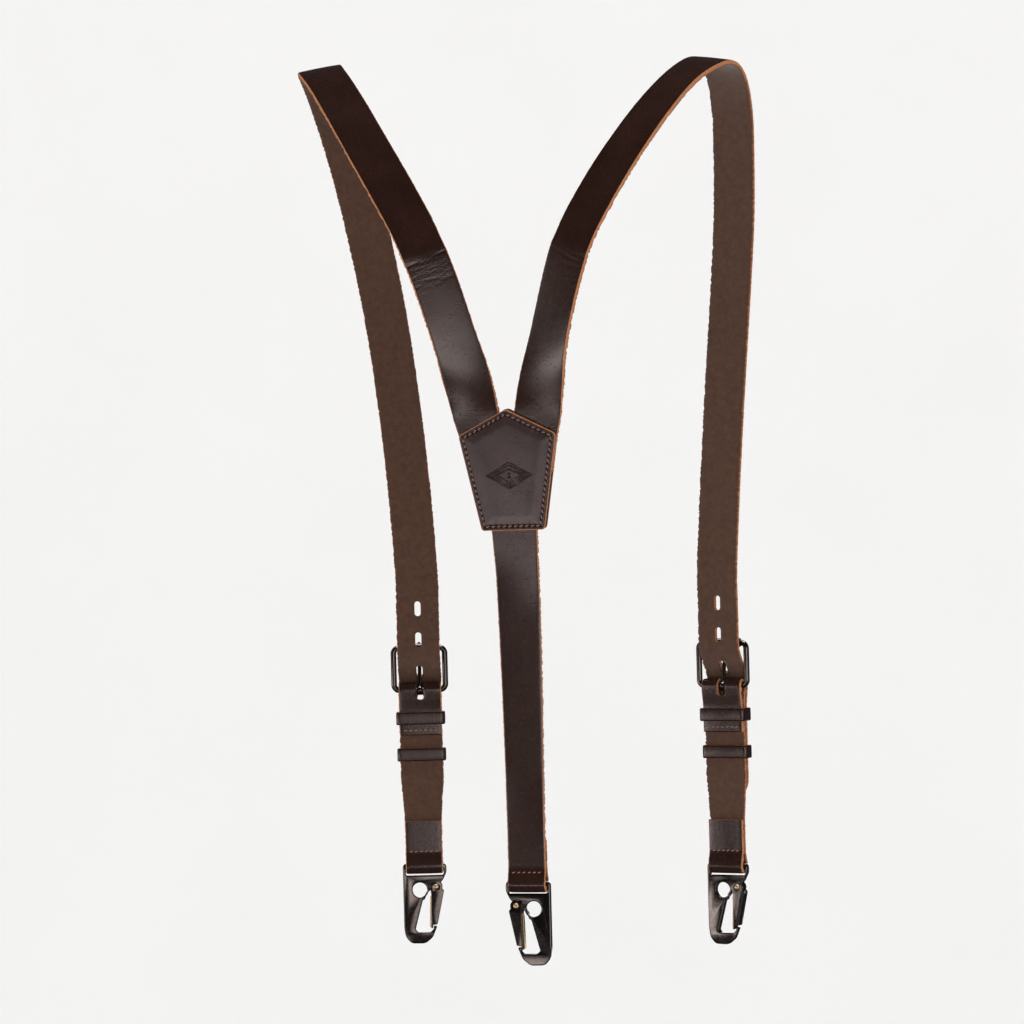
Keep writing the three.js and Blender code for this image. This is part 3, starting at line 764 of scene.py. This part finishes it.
def stitches(name, rows):
    """Rows of thread. Each row is (holes, outward direction); a stitch spans each pair of holes."""
    rng = np.random.default_rng(len(name))
    parts = []
    for holes, out in rows:
        holes = np.asarray(holes, float)
        out = unit(np.asarray(out, float))
        for start, end in zip(holes, holes[1:]):
            along = end - start
            slant = 0.3 * np.cross(out, along) * rng.uniform(0.6, 1.4)
            share = np.array([0.2, 0.26, 0.36, 0.5, 0.64, 0.74, 0.8])
            rise = np.array([-0.5, -0.05, 0.2, 0.27, 0.2, -0.05, -0.5]) + rng.normal() * 0.03
            thick = THREAD_RADIUS * np.array([0.55, 0.85, 1, 1.05, 1, 0.85, 0.55])
            path = start + share[:, None] * along + (share - 0.5)[:, None] * slant + rise[:, None] * out
            parts.append(capsule(path, thick, np.cross(out, along)))
    vertices, faces = joined(parts)
    finish_piece(make_object(name, vertices, faces, [THREAD]), "harness", "leather")


def inset_corners(corners, distance):
    """Corners of a convex counterclockwise outline moved in by a distance."""
    corners = np.asarray(corners, float)
    count = len(corners)
    moved = []
    for i in range(count):
        before = unit(corners[i] - corners[i - 1])
        after = unit(corners[(i + 1) % count] - corners[i])
        inward = [np.array([-d[1], d[0]]) for d in (before, after)]
        lines = np.array(inward)
        offsets = [n @ corners[i] + distance for n in inward]
        moved.append(np.linalg.solve(lines, offsets))
    return np.array(moved)


def seam_holes():
    """Awl holes round the patch, one at each corner, as [x, y] in the patch's plane."""
    corners = inset_corners(PATCH_OUTLINE, STITCH_INSET)
    holes = []
    for a, b in zip(corners, np.roll(corners, -1, axis=0)):
        count = round(np.linalg.norm(b - a) / STITCH_PITCH)
        holes += [a + (b - a) * i / count for i in range(count)]
    return np.array([*holes, holes[0]])


def edge_distance(x, y):
    """How far inside the patch's outline a point lies."""
    corners = np.asarray(PATCH_OUTLINE, float)
    nearest = np.full(np.shape(x), np.inf)
    for a, b in zip(corners, np.roll(corners, -1, axis=0)):
        d = unit(b - a)
        nearest = np.minimum(nearest, -d[1] * (x - a[0]) + d[0] * (y - a[1]))
    return nearest


def lozenge_line(x, y, half_width, half_height, scale):
    """About how far a point lies from a lozenge's line; scale turns shares into millimetres."""
    return np.abs(np.abs(x) / half_width + np.abs(y) / half_height - 1) * scale


def ornament(x, y):
    """A plain pressed lozenge with a dot in it: 1 in the pressed line, 0 outside."""
    up = y - ORNAMENT_HEIGHT
    outer = lozenge_line(x, up, 14, 7.6, 6.6) - 0.45
    inner = lozenge_line(x, up, 9.2, 4.6, 4.1) - 0.15
    dot = np.hypot(x, up) - ORNAMENT_DOT
    return 1 - smoothstep(np.minimum(np.minimum(outer, inner), dot), 0, 0.45)


def awl_marks(x, y, holes):
    """1 in the middle of each awl hole, falling to 0 round it."""
    marks = np.zeros(np.shape(x))
    for hx, hy in holes:
        marks = np.maximum(marks, np.exp(-(((x - hx) ** 2 + (y - hy) ** 2) / AWL_MARK)))
    return marks


def patch_height(x, y, holes):
    """How high the patch's face lies over its nominal plane; the straps under it show faintly."""
    d = edge_distance(x, y)
    rounded_rim = -0.4 * (1 - smoothstep(d, 0, 1.0))
    seam_groove = 0.3 * np.exp(-(((d - STITCH_INSET) / 0.55) ** 2))
    crown = 0.22 * smoothstep(d, 3.2, 10) - 0.08
    height = rounded_rim - seam_groove
    height += crown
    height -= 0.8 * awl_marks(x, y, holes)
    right_strap = 17 + 0.2 * (y + 10)
    left_strap = -15 - 0.172 * (y + 10)
    for edge, lift in ((right_strap, 0.12), (left_strap, 0.05)):
        height += lift * smoothstep(np.abs(x - edge), 5, 0) * smoothstep(d, 3, 7)
    height += 0.05 * np.sin(x / 7.3 + y / 12.1) * np.sin(y / 9.7 - 0.6) * smoothstep(d, 3, 8)
    return height - 0.42 * ornament(x, y)


def slab(name, thickness, matrix, looks, height, step, holes=()):
    """The yoke's pentagon as a closed mesh: looks are for its face, its cut edge and its back."""
    rim = evenly(rounded(PATCH_OUTLINE, PATCH_CORNER_RADII, 9), step)
    count = len(rim)
    centre = np.array([0, -2.0])
    insets = np.concatenate([np.arange(0.1, 4.6, 0.28), np.arange(4.9, 8, 0.55), np.arange(8.6, 27, 0.62)])
    rings, looks_by_ring, darkenings, depths = [], [], [], []

    def ring(flat, z, look, darkening, depth):
        rings.append(np.column_stack([flat, np.broadcast_to(z, count)]))
        looks_by_ring.append(look)
        darkenings.append(np.broadcast_to(darkening, count))
        depths.append(np.full(count, depth))

    t = thickness / 2
    for inset in insets[::-1]:
        flat = centre + (rim - centre) * (1 - inset / RING_REACH)
        x, y = flat.T
        # painted shade: darker towards the rolled border of the patch's face
        shade_and_lozenge = np.exp(-np.maximum(edge_distance(x, y), 0) / 0.8)
        z = t
        if height:
            # more painted shade in the awl holes; the pressed lozenge is darker too
            shade_and_lozenge = shade_and_lozenge + (0.5 * ornament(x, y) + 2.4 * awl_marks(x, y, holes))
            z = t + height(x, y)
        ring(flat, z, FACE, shade_and_lozenge, 0)
    rough = RNG.normal(size=count) * 0.08
    outward = unit(rim - centre)
    ring(rim, t - 0.62, EDGE, 0, 0.3)
    ring(rim + outward * rough[:, None], 0, EDGE, 0, 0.5)
    ring(rim + outward * 1.5 * rough[:, None], -t + 0.4, EDGE, 0, 0.8)
    ring(rim - outward * 0.4, -t, FLESH, 0, 1)
    for inset in (3, 9, 18, 26):
        ring(centre + (rim - centre) * (1 - inset / RING_REACH), -t, FLESH, 0, 1)
    looks_by_ring[len(insets) - 2] = looks_by_ring[len(insets) - 1] = EDGE
    vertices = transform(matrix, np.vstack(rings))
    faces = tube_faces(len(rings), count) + end_caps(len(rings), count)
    face_looks = [look for look in looks_by_ring[:-1] for _ in range(count)] + [FACE, FLESH]
    paint = {"rim": np.concatenate(darkenings), "depth": np.concatenate(depths)}
    return make_object(name, vertices, faces, looks, face_looks, paint=paint)


def build_yoke():
    patch_frame = yoke_frame((STRAP_THICKNESS + PATCH_THICKNESS) / 2 + LAYER_GAP)
    back_frame = yoke_frame(-(STRAP_THICKNESS + BACKING_THICKNESS) / 2 - LAYER_GAP)
    holes = seam_holes()

    def height(x, y):
        return patch_height(x, y, holes)

    looks = [PATCH_LEATHER, RAW_EDGE, SUEDE]
    patch = slab("yoke_patch_leather", PATCH_THICKNESS, patch_frame, looks, height, 0.5, holes)
    finish_piece(patch, "harness", "leather", "yoke_patch")
    flipped = back_frame @ Matrix.Rotation(math.pi, 4, "Y")
    backing = slab("yoke_backing_leather", BACKING_THICKNESS, flipped, [SUEDE, SUEDE, SUEDE], None, 1.2)
    finish_piece(backing, "harness", "leather_backing", "yoke_backing")
    out = np.array(patch_frame)[:3, 2]
    face = [(x, y, PATCH_THICKNESS / 2 - 0.28) for x, y in holes]
    rear = [(x, y, -BACKING_THICKNESS / 2 - 0.02) for x, y in holes]
    rows = [(transform(patch_frame, face), out), (transform(back_frame, rear), -out)]
    stitches("yoke_stitching", rows)


def creases(depth, seed):
    """Fine crosswise creases where a shoulder strap bends, and slow waves where it hangs free."""
    rng = np.random.default_rng(seed)
    heights = BEND_TOP - (BEND_TOP - BEND_FOOT) * rng.uniform(0, 1, CREASES)
    lines = [(height, rng.uniform(0.4, 0.7), rng.uniform(-0.2, 0.2)) for height in heights]
    waves = [(rng.uniform(90, 210), rng.uniform(0, 7)) for _ in range(3)]

    def relief(route, u):
        z = route.centre[:, 2]
        lift = np.zeros(len(z))
        behind = route.centre[:, 1] < 0
        for height, width, lean in lines:
            wobble = height + lean * u * 0.3 + 0.35 * np.sin(u / 3.1 + height)
            broken = np.clip(0.5 + 0.6 * np.sin(u / 4.2 + height * 1.7), 0, 1)
            reach = broken * smoothstep(height, BEND_FOOT - 4, BEND_TOP - 6)
            lift -= depth * reach * np.exp(-(((z - wobble) / width) ** 2)) * behind
        free = smoothstep(z, -228, -205) * smoothstep(route.at, 60, 90)
        free = free * smoothstep(route.length - route.at, 150, 190)
        for length, phase in waves:
            lift += 0.07 * free * np.sin(2 * math.pi * route.at / length + phase + u / 9)
        return lift

    return relief


def tail_offset(y):
    """How far out the shoulder strap's centre line lies at a height above the heel bar."""
    behind_roller = -(ROLLER_RADIUS + TAIL_GAP + STRAP_THICKNESS / 2)
    half_strap = TAIL_GAP + STRAP_THICKNESS / 2
    over_fold = BAR_RADIUS + 0.3 + DROP_THICKNESS + half_strap
    on_face = LAYER_GAP / 2 + DROP_THICKNESS + half_strap
    climb = smoothstep(-y, -29, -3)
    settle = smoothstep(-y, 1, 15)
    return behind_roller + climb * (over_fold - behind_roller) - settle * (over_fold - on_face)


def hole_outlines(matrix):
    """Cutters for the punched holes of a shoulder strap, as one object."""
    half = (HOLE_LENGTH - HOLE_WIDTH) / 2
    round_end = circle((0, 0), HOLE_WIDTH / 2, 28)
    top, foot = round_end[:15] + (0, half), round_end[14:] - (0, half)
    outline = np.vstack([top, foot, round_end[:1] - (0, half)])
    parts = []
    for i in HOLES:
        y = BUCKLED_HOLE - i * HOLE_PITCH
        lean = math.atan(tail_offset(y + 0.5) - tail_offset(y - 0.5))
        place = matrix @ Matrix.Translation((0, y, tail_offset(y))) @ Matrix.Rotation(lean, 4, "X")
        parts.append(prism(outline, 12, place))
    vertices, faces = joined(parts)
    return make_object("hole_cutter", vertices, faces, [RAW_EDGE])


def build_shoulder_strap(name, side, crease_depth):
    matrix = front_frame(side)
    out = np.array(matrix)[:3, 2]
    points = []
    for x, y, z, *_ in SHOULDER_ROUTE:
        shoulder = smoothstep(z, -150, -20) if side < 0 else 0
        points.append((side * (x + LEFT_SPREAD * shoulder), y, z + LEFT_RISE * shoulder))
    faces = [(side * fx, fy, fz) for _, _, _, fx, fy, fz in SHOULDER_ROUTE]
    points += transform(matrix, [(0, y, tail_offset(y)) for y in TAIL_HEIGHTS]).tolist()
    faces += [out] * len(TAIL_HEIGHTS)
    route = Route(points, faces, tip=TAIL_TIP)
    from_end = np.clip((route.length - route.at) / TAIL_TIP, 0, 1)
    height = route.centre[:, 2]
    behind = route.centre[:, 1] < 0
    flare = smoothstep(height, *FLARE_RISE) * (1 - smoothstep(height, *FLARE_FALL)) * behind
    pared = YOKE_TRIM * (1 - smoothstep(height, *PARED_END)) * behind
    tip = np.sqrt(np.maximum(1 - (1 - from_end) ** 2, 1e-4))
    half = (STRAP_WIDTH / 2 - pared + YOKE_FLARE / 2 * flare) * tip
    relief = creases(crease_depth, 11 + side)
    at_bend = np.exp(-(((height - BEND_TOP + 9) / 9) ** 2)) * (side < 0) * behind
    at_yoke = (1 - smoothstep(height, -222, -195)) * behind * (0.9 if side > 0 else 0.35)
    grain = 0.15 + 0.6 * at_bend + 0.6 * at_yoke
    looks = dict(relief=relief, seed=20 + side, grain=grain)
    made = strap(name + "_shoulder_strap_leather", route, half, STRAP_THICKNESS, **looks)
    cut(made, hole_outlines(matrix))
    finish_piece(made, "harness", "leather", name + "_shoulder_strap")


def build_back_strap():
    _, y, z = BACK_HOOK_BAR
    fold = FOLD_BORE + STRAP_THICKNESS / 2
    flat = (STRAP_THICKNESS + LAYER_GAP) / 2
    _, yoke_y, yoke_z = YOKE_CENTRE
    points = [
        *[(yoke_y + (yoke_z - height) * math.tan(YOKE_PITCH), height) for height in YOKE_HEIGHTS],
        *BACK_ROUTE,
        (y - flat, z + 28),
        *[(y - flat - wider, z + above) for above, wider in FOLD_NECK],
        *turn(y, z, fold, 180, 360, 6),
        *[(y + flat + wider, z + above) for above, wider in reversed(FOLD_NECK)],
        (y + flat, z + BACK_FOLD_END),
    ]
    route = flat_route(points)
    height = route.centre[:, 2]
    front = route.at < route.length - 40
    route.twist(BACK_TWIST * smoothstep(-height, 325, 380) * smoothstep(height, -520, -470) * front)
    taper = np.clip((TAPER_TOP - height) / TAPER_RUN, 0, 1)
    flare = 1 - smoothstep(-height, 300, 350)
    half = (STRAP_WIDTH + YOKE_FLARE * flare + taper * (STRAP_END_WIDTH - STRAP_WIDTH)) / 2

    def relief(route, u):
        free = smoothstep(-height, 322, 350) * smoothstep(height, -530, -500) * front
        return 0.08 * free * np.sin(route.at / 19 + u / 11)

    made = strap("back_strap_leather", route, half, STRAP_THICKNESS, relief=relief, cup=0.12, seed=31)
    finish_piece(made, "harness", "leather", "back_strap")


def drop_points():
    """A drop strap's centre line, folded over the heel bar above and the hook's bar below."""
    flat = (DROP_THICKNESS + LAYER_GAP) / 2
    top = BAR_RADIUS + 0.3 + DROP_THICKNESS / 2
    bottom = FOLD_BORE + DROP_THICKNESS / 2
    hook = -DROP_LENGTH
    return [
        (-FOLD_BACK, -flat),
        *[(-below, -flat - wider) for below, wider in HEEL_NECK],
        *turn(0, 0, top, -90, 90, 6),
        *[(-below, flat + wider) for below, wider in reversed(HEEL_NECK)],
        (-45, flat),
        (-70, flat),
        (hook + FOLD_BACK, flat),
        *[(hook + above, flat + wider) for above, wider in FOLD_NECK],
        *turn(hook, 0, bottom, 90, 270, 6),
        *[(hook + above, -flat - wider) for above, wider in reversed(FOLD_NECK)],
        (hook + FOLD_BACK, -flat),
    ]


def build_drop_strap(name, matrix):
    route = flat_route(drop_points())
    taper = np.clip((-62 - route.centre[:, 1]) / 30, 0, 1)
    half = (STRAP_WIDTH + taper * (STRAP_END_WIDTH - STRAP_WIDTH)) / 2
    route.moved(matrix)
    made = strap(name + "_drop_strap_leather", route, half, DROP_THICKNESS, cup=0.1, seed=40 + len(name))
    w, (foot, head) = PRONG_SLOT / 2, PRONG_SLOT_ENDS
    slot = rounded([(-w, foot), (w, foot), (w, head), (-w, head)], [2.4] * 4)
    cut(made, make_object("slot_cutter", *prism(slot, 16, matrix), [RAW_EDGE]))
    finish_piece(made, "harness", "leather", name + "_drop_strap")


def seam_row(matrix, y, depth, width, count):
    """Holes of a row across a folded strap, on both of its outer faces."""
    xs = np.linspace(-width / 2, width / 2, count)
    out = np.array(matrix)[:3, 2]
    rows = []
    for sign in (1, -1):
        holes = transform(matrix, [(x, y, sign * depth) for x in xs])
        rows.append((holes, sign * out))
    return rows


def build_buckle(name, matrix):
    build_buckle_frame(name, matrix)
    build_roller(name, matrix)
    build_prong(name, matrix)


def build_buckle_frame(name, matrix):
    corner = FRAME_CORNER
    w = FRAME_HALF_WIDTH - corner
    top = FRAME_LENGTH - corner
    arcs = [(w, corner, -90), (w, top, 0), (-w, top, 90), (-w, corner, 180)]
    rings = []
    for x, y, start in arcs:
        for angle in np.radians(np.linspace(start, start + 90, 13)):
            out = np.array([math.cos(angle), math.sin(angle), 0])
            centre = np.array([x, y, 0]) + corner * out
            for t in full_turn(24):
                rings.append(centre + BAR_RADIUS * (math.cos(t) * out + math.sin(t) * np.array([0, 0, 1])))
    vertices = transform(matrix, rings)
    faces = tube_faces(len(rings) // 24, 24, closed=True)
    made = make_object(name + "_buckle_frame_metal", vertices, faces, [NICKEL])
    finish_piece(made, "harness", "black_nickel", name + "_buckle_frame")


def build_roller(name, matrix):
    half, r, b = ROLLER_LENGTH / 2, ROLLER_RADIUS, ROLLER_BORE
    soft = [(0.0, 0.5), (0.15, 0.15), (0.5, 0.0)]
    right = [(r - i, half - j) for i, j in soft]
    left = [(r - i, -half + j) for i, j in reversed(soft)]
    profile = [*left, (r, -6), (r, 6), *right, (b, half), (b, 0), (b, -half)]
    place = matrix @ Matrix.Translation((0, FRAME_LENGTH, 0))
    vertices, faces = lathe(profile, place, 48)
    made = make_object(name + "_buckle_roller_metal", vertices, faces, [NICKEL], sharp=50)
    finish_piece(made, name + "_roller", "black_nickel", name + "_buckle_roller")


def build_prong(name, matrix):
    path = catmull_rom([(0, y, z) for y, z in PRONG_ROUTE], 8)
    share = np.linspace(0, 1, len(path))
    radii = PRONG_RADIUS * (1 - 0.15 * share) * np.sqrt(1 - smoothstep(share, 0.93, 1.02) * 0.85)
    shank = capsule(transform(matrix, path), radii, np.array(matrix)[:3, 0], 20)
    w, r, b = PRONG_EYE_WIDTH / 2, PRONG_EYE_RADIUS, PRONG_EYE_BORE
    inner = [(b, -w + 0.2), (b, w - 0.2), (b + 0.25, w)]
    outer = [(r - 0.5, w), (r, w - 0.5), (r, -w + 0.5), (r - 0.5, -w)]
    ring = [*inner, *outer, (b + 0.25, -w)]
    vertices, faces = joined([shank, lathe(ring, matrix, 36)])
    made = make_object(name + "_buckle_prong_metal", vertices, faces, [NICKEL], sharp=50)
    finish_piece(made, name + "_prong", "black_nickel", name + "_buckle_prong")


def build_keeper(name, body, node, matrix, y, back, front, seed):
    """A leather band round the straps, with a softly swollen section and raw edges."""
    t = KEEPER_THICKNESS
    w = STRAP_WIDTH / 2 + 0.5 + t / 2
    middle = (front + back) / 2
    d = (front - back) / 2 + t / 2
    loop = rounded([(-w, -d), (w, -d), (w, d), (-w, d)], [1.9] * 4, 9)
    flat = evenly(loop, 0.5, 0.2)
    following = np.roll(flat, -1, axis=0) - np.roll(flat, 1, axis=0)
    outward = unit(np.column_stack([following[:, 1], -following[:, 0]]))
    h = KEEPER_HEIGHT / 2
    # the last column paints shade: darker where the band's face rolls over at its edges
    half_section = [
        (0, t / 2, FACE, 0),
        (h - 1.2, t / 2 - 0.03, FACE, 0.1),
        (h - 0.4, t / 2 - 0.16, FACE, 0.6),
        (h - 0.06, t / 2 - 0.42, EDGE, 0.8),
        (h, -t / 2 + 0.4, EDGE, 0),
        (h - 0.3, -t / 2, FLESH, 0),
    ]
    mirrored = [(-up, thick, r[2], darkening) for r, (up, thick, _, darkening) in zip(half_section, half_section[1:])]
    section = [*half_section, *reversed(mirrored)]
    rng = np.random.default_rng(seed)
    points, rim, depth = [], [], []
    for place, out in zip(flat, outward):
        jitter = rng.normal() * 0.06
        for up, thick, look, darkening in section:
            x, z = place + out * thick
            points.append((x, y + up + np.sign(up) * jitter * (look == EDGE), middle + z))
            rim.append(darkening)
            depth.append(0.5 - thick / t)
    faces = tube_faces(len(flat), len(section), closed=True)
    face_looks = [s[2] for s in section] * len(flat)
    paint = {"rim": np.array(rim), "depth": np.array(depth)}
    made = make_object(name, transform(matrix, points), faces, STRAP_LOOKS, face_looks, paint=paint)
    finish_piece(made, body, "leather", node)


def pivot_arc(radius, angles):
    """Outline points round the gate's pivot, each a corner that isn't rounded."""
    x, y = PIVOT
    return [(x + radius * math.cos(a), y + radius * math.sin(a), 0) for a in np.radians(angles)]


def rounded_corners(corners):
    """An outline from corners given as (x, y, rounding)."""
    return rounded([c[:2] for c in corners], [c[2] for c in corners])


def build_hook(name, matrix):
    build_hook_body(name, matrix)
    build_gate(name, matrix)
    build_spring(name, matrix)
    build_rivet(name, matrix)


def build_hook_body(name, matrix):
    slot = rounded([(-13.4, -2), (13.4, -2), (13.4, -6.4), (-13.4, -6.4)], [0.5, 0.5, 1.2, 1.2])
    holes = [slot, circle(EYE, EYE_RADIUS, 56), circle(PIVOT, PIVOT_BORE, 24)]
    tab = pivot_arc(PIVOT_TAB_RADIUS, np.linspace(-25, -222, 16))
    outline = rounded_corners([*HOOK_CORNERS, *tab, *HOOK_SHOULDER])
    body = plate(name + "_hook_metal", outline, holes, HOOK_THICKNESS, 0.95, matrix, NICKEL)
    finish_piece(body, name + "_hook", "black_nickel", name + "_hook_body")


def build_gate(name, matrix):
    knuckle = pivot_arc(PIVOT_EAR_RADIUS, np.linspace(-15, 200, 22))
    outline = rounded_corners([*knuckle, *GATE_BLADE])
    bore = circle(PIVOT, PIVOT_BORE, 24)
    gate = plate(name + "_gate_metal", outline, [bore], GATE_THICKNESS, 0.45, matrix, NICKEL)
    channel = rounded([(-16, -19.2), (0, -19.2), (0, -8), (-16, -8)], [0.6] * 4)
    cut(gate, make_object("channel_cutter", *prism(channel, GATE_INSIDE, matrix), [NICKEL]))
    finish_piece(gate, name + "_gate", "black_nickel", name + "_hook_gate")


def build_spring(name, matrix):
    leaf = rounded([(-4.25, -21), (-3.55, -21), (-2.8, -43.4), (-3.5, -43.4)], [0.1] * 4, 3)
    spring = plate(name + "_spring_metal", leaf, [], SPRING_WIDTH, 0.1, matrix, BRASS)
    finish_piece(spring, name + "_gate", "brass", name + "_hook_spring")


def build_rivet(name, matrix):
    reach = GATE_THICKNESS / 2 + 0.15
    crown = 0.9
    dome = [(2.0 * math.cos(a), reach + crown * math.sin(a)) for a in np.radians(np.linspace(0, 86, 9))]
    far_dome = [(r, -a) for r, a in reversed(dome)]
    shank = [(1.4, -reach), (1.4, reach)]
    profile = [(0.05, -reach - crown), *far_dome, *shank, *dome, (0.05, reach + crown)]
    axis = matrix @ Matrix.Translation((*PIVOT, 0)) @ Matrix.Rotation(-math.pi / 2, 4, "Y")
    vertices, faces = lathe(profile, axis, 32)
    rivet = make_object(name + "_rivet_metal", vertices, faces, [BRASS], sharp=40)
    finish_piece(rivet, name + "_hook", "brass", name + "_hook_rivet")


def build_back():
    build_back_strap()
    matrix = hanging_frame(BACK_HOOK_BAR, (0, -1, 0))
    build_hook("back", matrix)
    depth = (STRAP_THICKNESS + LAYER_GAP) / 2 + STRAP_THICKNESS / 2 + 0.42
    stitches("back_fold_stitching", seam_row(matrix, 7.8, depth, *FOLD_SEAM))


def build_front(name, side, crease_depth):
    matrix = front_frame(side)
    build_shoulder_strap(name, side, crease_depth)
    build_drop_strap(name, matrix)
    build_buckle(name, matrix)
    face_back = -(DROP_THICKNESS + LAYER_GAP / 2)
    tail_front = tail_offset(-30) + STRAP_THICKNESS / 2 + KEEPER_PLAY
    fixed, loose = name + "_fixed_keeper", name + "_loose_keeper"
    fixed_back = face_back - KEEPER_PLAY
    build_keeper(fixed + "_leather", "harness", fixed, matrix, FIXED_KEEPER, fixed_back, tail_front, 3)
    build_keeper(loose + "_leather", name + "_keeper", loose, matrix, LOOSE_KEEPER, -0.2, tail_front, 4)
    build_hook(name, matrix @ Matrix.Translation((0, -DROP_LENGTH, 0)))
    depth = DROP_THICKNESS + LAYER_GAP / 2 + 0.1
    at_hook = seam_row(matrix, -DROP_LENGTH + 10.6, depth, *FOLD_SEAM)
    at_heel = seam_row(matrix, -28.5, depth, *HEEL_SEAM)
    stitches(name + "_drop_stitching", at_hook + at_heel[1:])


# ---- studio


def build_stage():
    """A pale paper bowl: a flat floor that curves up into a wall all round."""
    floor, radius, sweep = -1400, 3700, 1700
    profile = [(r, floor) for r in np.linspace(1, radius - sweep, 24)]
    for angle in np.radians(np.linspace(0, 90, 24)[1:]):
        profile.append((radius - sweep * (1 - math.sin(angle)), floor + sweep * (1 - math.cos(angle))))
    profile.append((radius, 640))
    steps = 96
    vertices = [(r * math.cos(a), r * math.sin(a), z) for a in full_turn(steps) for r, z in profile]
    rows = len(profile)
    faces = []
    for i in range(steps):
        here, there = i * rows, (i + 1) % steps * rows
        faces += [(here + j, there + j, there + j + 1, here + j + 1) for j in range(rows - 1)]
    faces.append(tuple(i * rows for i in range(steps)))
    bowl = make_object("studio_floor", vertices, faces, [studio_paper()])
    bowl.data.flip_normals()
    bowl.visible_glossy = False
    return bowl


def softbox(name, place, target, width, height, power, colour=(1, 1, 1)):
    light = bpy.data.lights.new(name, "AREA")
    light.shape = "RECTANGLE"
    light.size, light.size_y = width, height
    light.energy = power
    light.color = colour
    made = bpy.data.objects.new(name, light)
    bpy.context.collection.objects.link(made)
    made.location = place
    made.rotation_mode = "QUATERNION"
    made.rotation_quaternion = (Vector(target) - Vector(place)).to_track_quat("-Z", "Y")
    made.visible_camera = False
    return made


def build_lights(paper):
    """Lamps for everything, lamps that miss the paper, and lamps for the metal alone."""
    overhead = softbox(*OVERHEAD)
    overhead.visible_glossy = False
    lamps = [softbox(*lamp) for lamp in OBJECT_LAMPS]
    all_but_paper = bpy.data.collections.new("not_on_paper")
    all_but_paper.objects.link(paper)
    all_but_paper.collection_objects[0].light_linking.link_state = "EXCLUDE"
    for lamp in lamps:
        lamp.light_linking.receiver_collection = all_but_paper
    metal = bpy.data.collections.new("metal_pieces")
    for piece in bpy.context.collection.objects:
        if piece.name.endswith("_metal"):
            metal.objects.link(piece)
    for lamp in [softbox(*lamp) for lamp in METAL_LAMPS]:
        lamp.light_linking.receiver_collection = metal
    build_world()


def build_world():
    world = bpy.data.worlds.new("studio_air")
    world.use_nodes = True
    air = next(n for n in world.node_tree.nodes if n.type == "BACKGROUND")
    air.inputs["Color"].default_value = (1, 1, 1, 1)
    air.inputs["Strength"].default_value = 0.05
    bpy.context.scene.world = world


def build_camera():
    data = bpy.data.cameras.new("camera")
    data.sensor_width = CAMERA_SENSOR
    data.lens = CAMERA_SENSOR * CAMERA_DISTANCE / CAMERA_WIDTH
    data.clip_end = 50
    camera = bpy.data.objects.new("camera", data)
    bpy.context.collection.objects.link(camera)
    a = math.radians(CAMERA_AZIMUTH)
    back = Vector((math.sin(a), -math.cos(a), 0))
    camera.location = (Vector(CAMERA_TARGET) + CAMERA_DISTANCE * back) * MM
    camera.rotation_mode = "QUATERNION"
    roll = Quaternion((0, 0, 1), math.radians(CAMERA_ROLL))
    camera.rotation_quaternion = (-back).to_track_quat("-Z", "Y") @ roll
    bpy.context.scene.camera = camera


build_yoke()
build_back()
build_front("left", -1, LEFT_CREASE)
build_front("right", 1, RIGHT_CREASE)
build_lights(build_stage())
build_camera()
bpy.context.scene.view_settings.view_transform = "Standard"
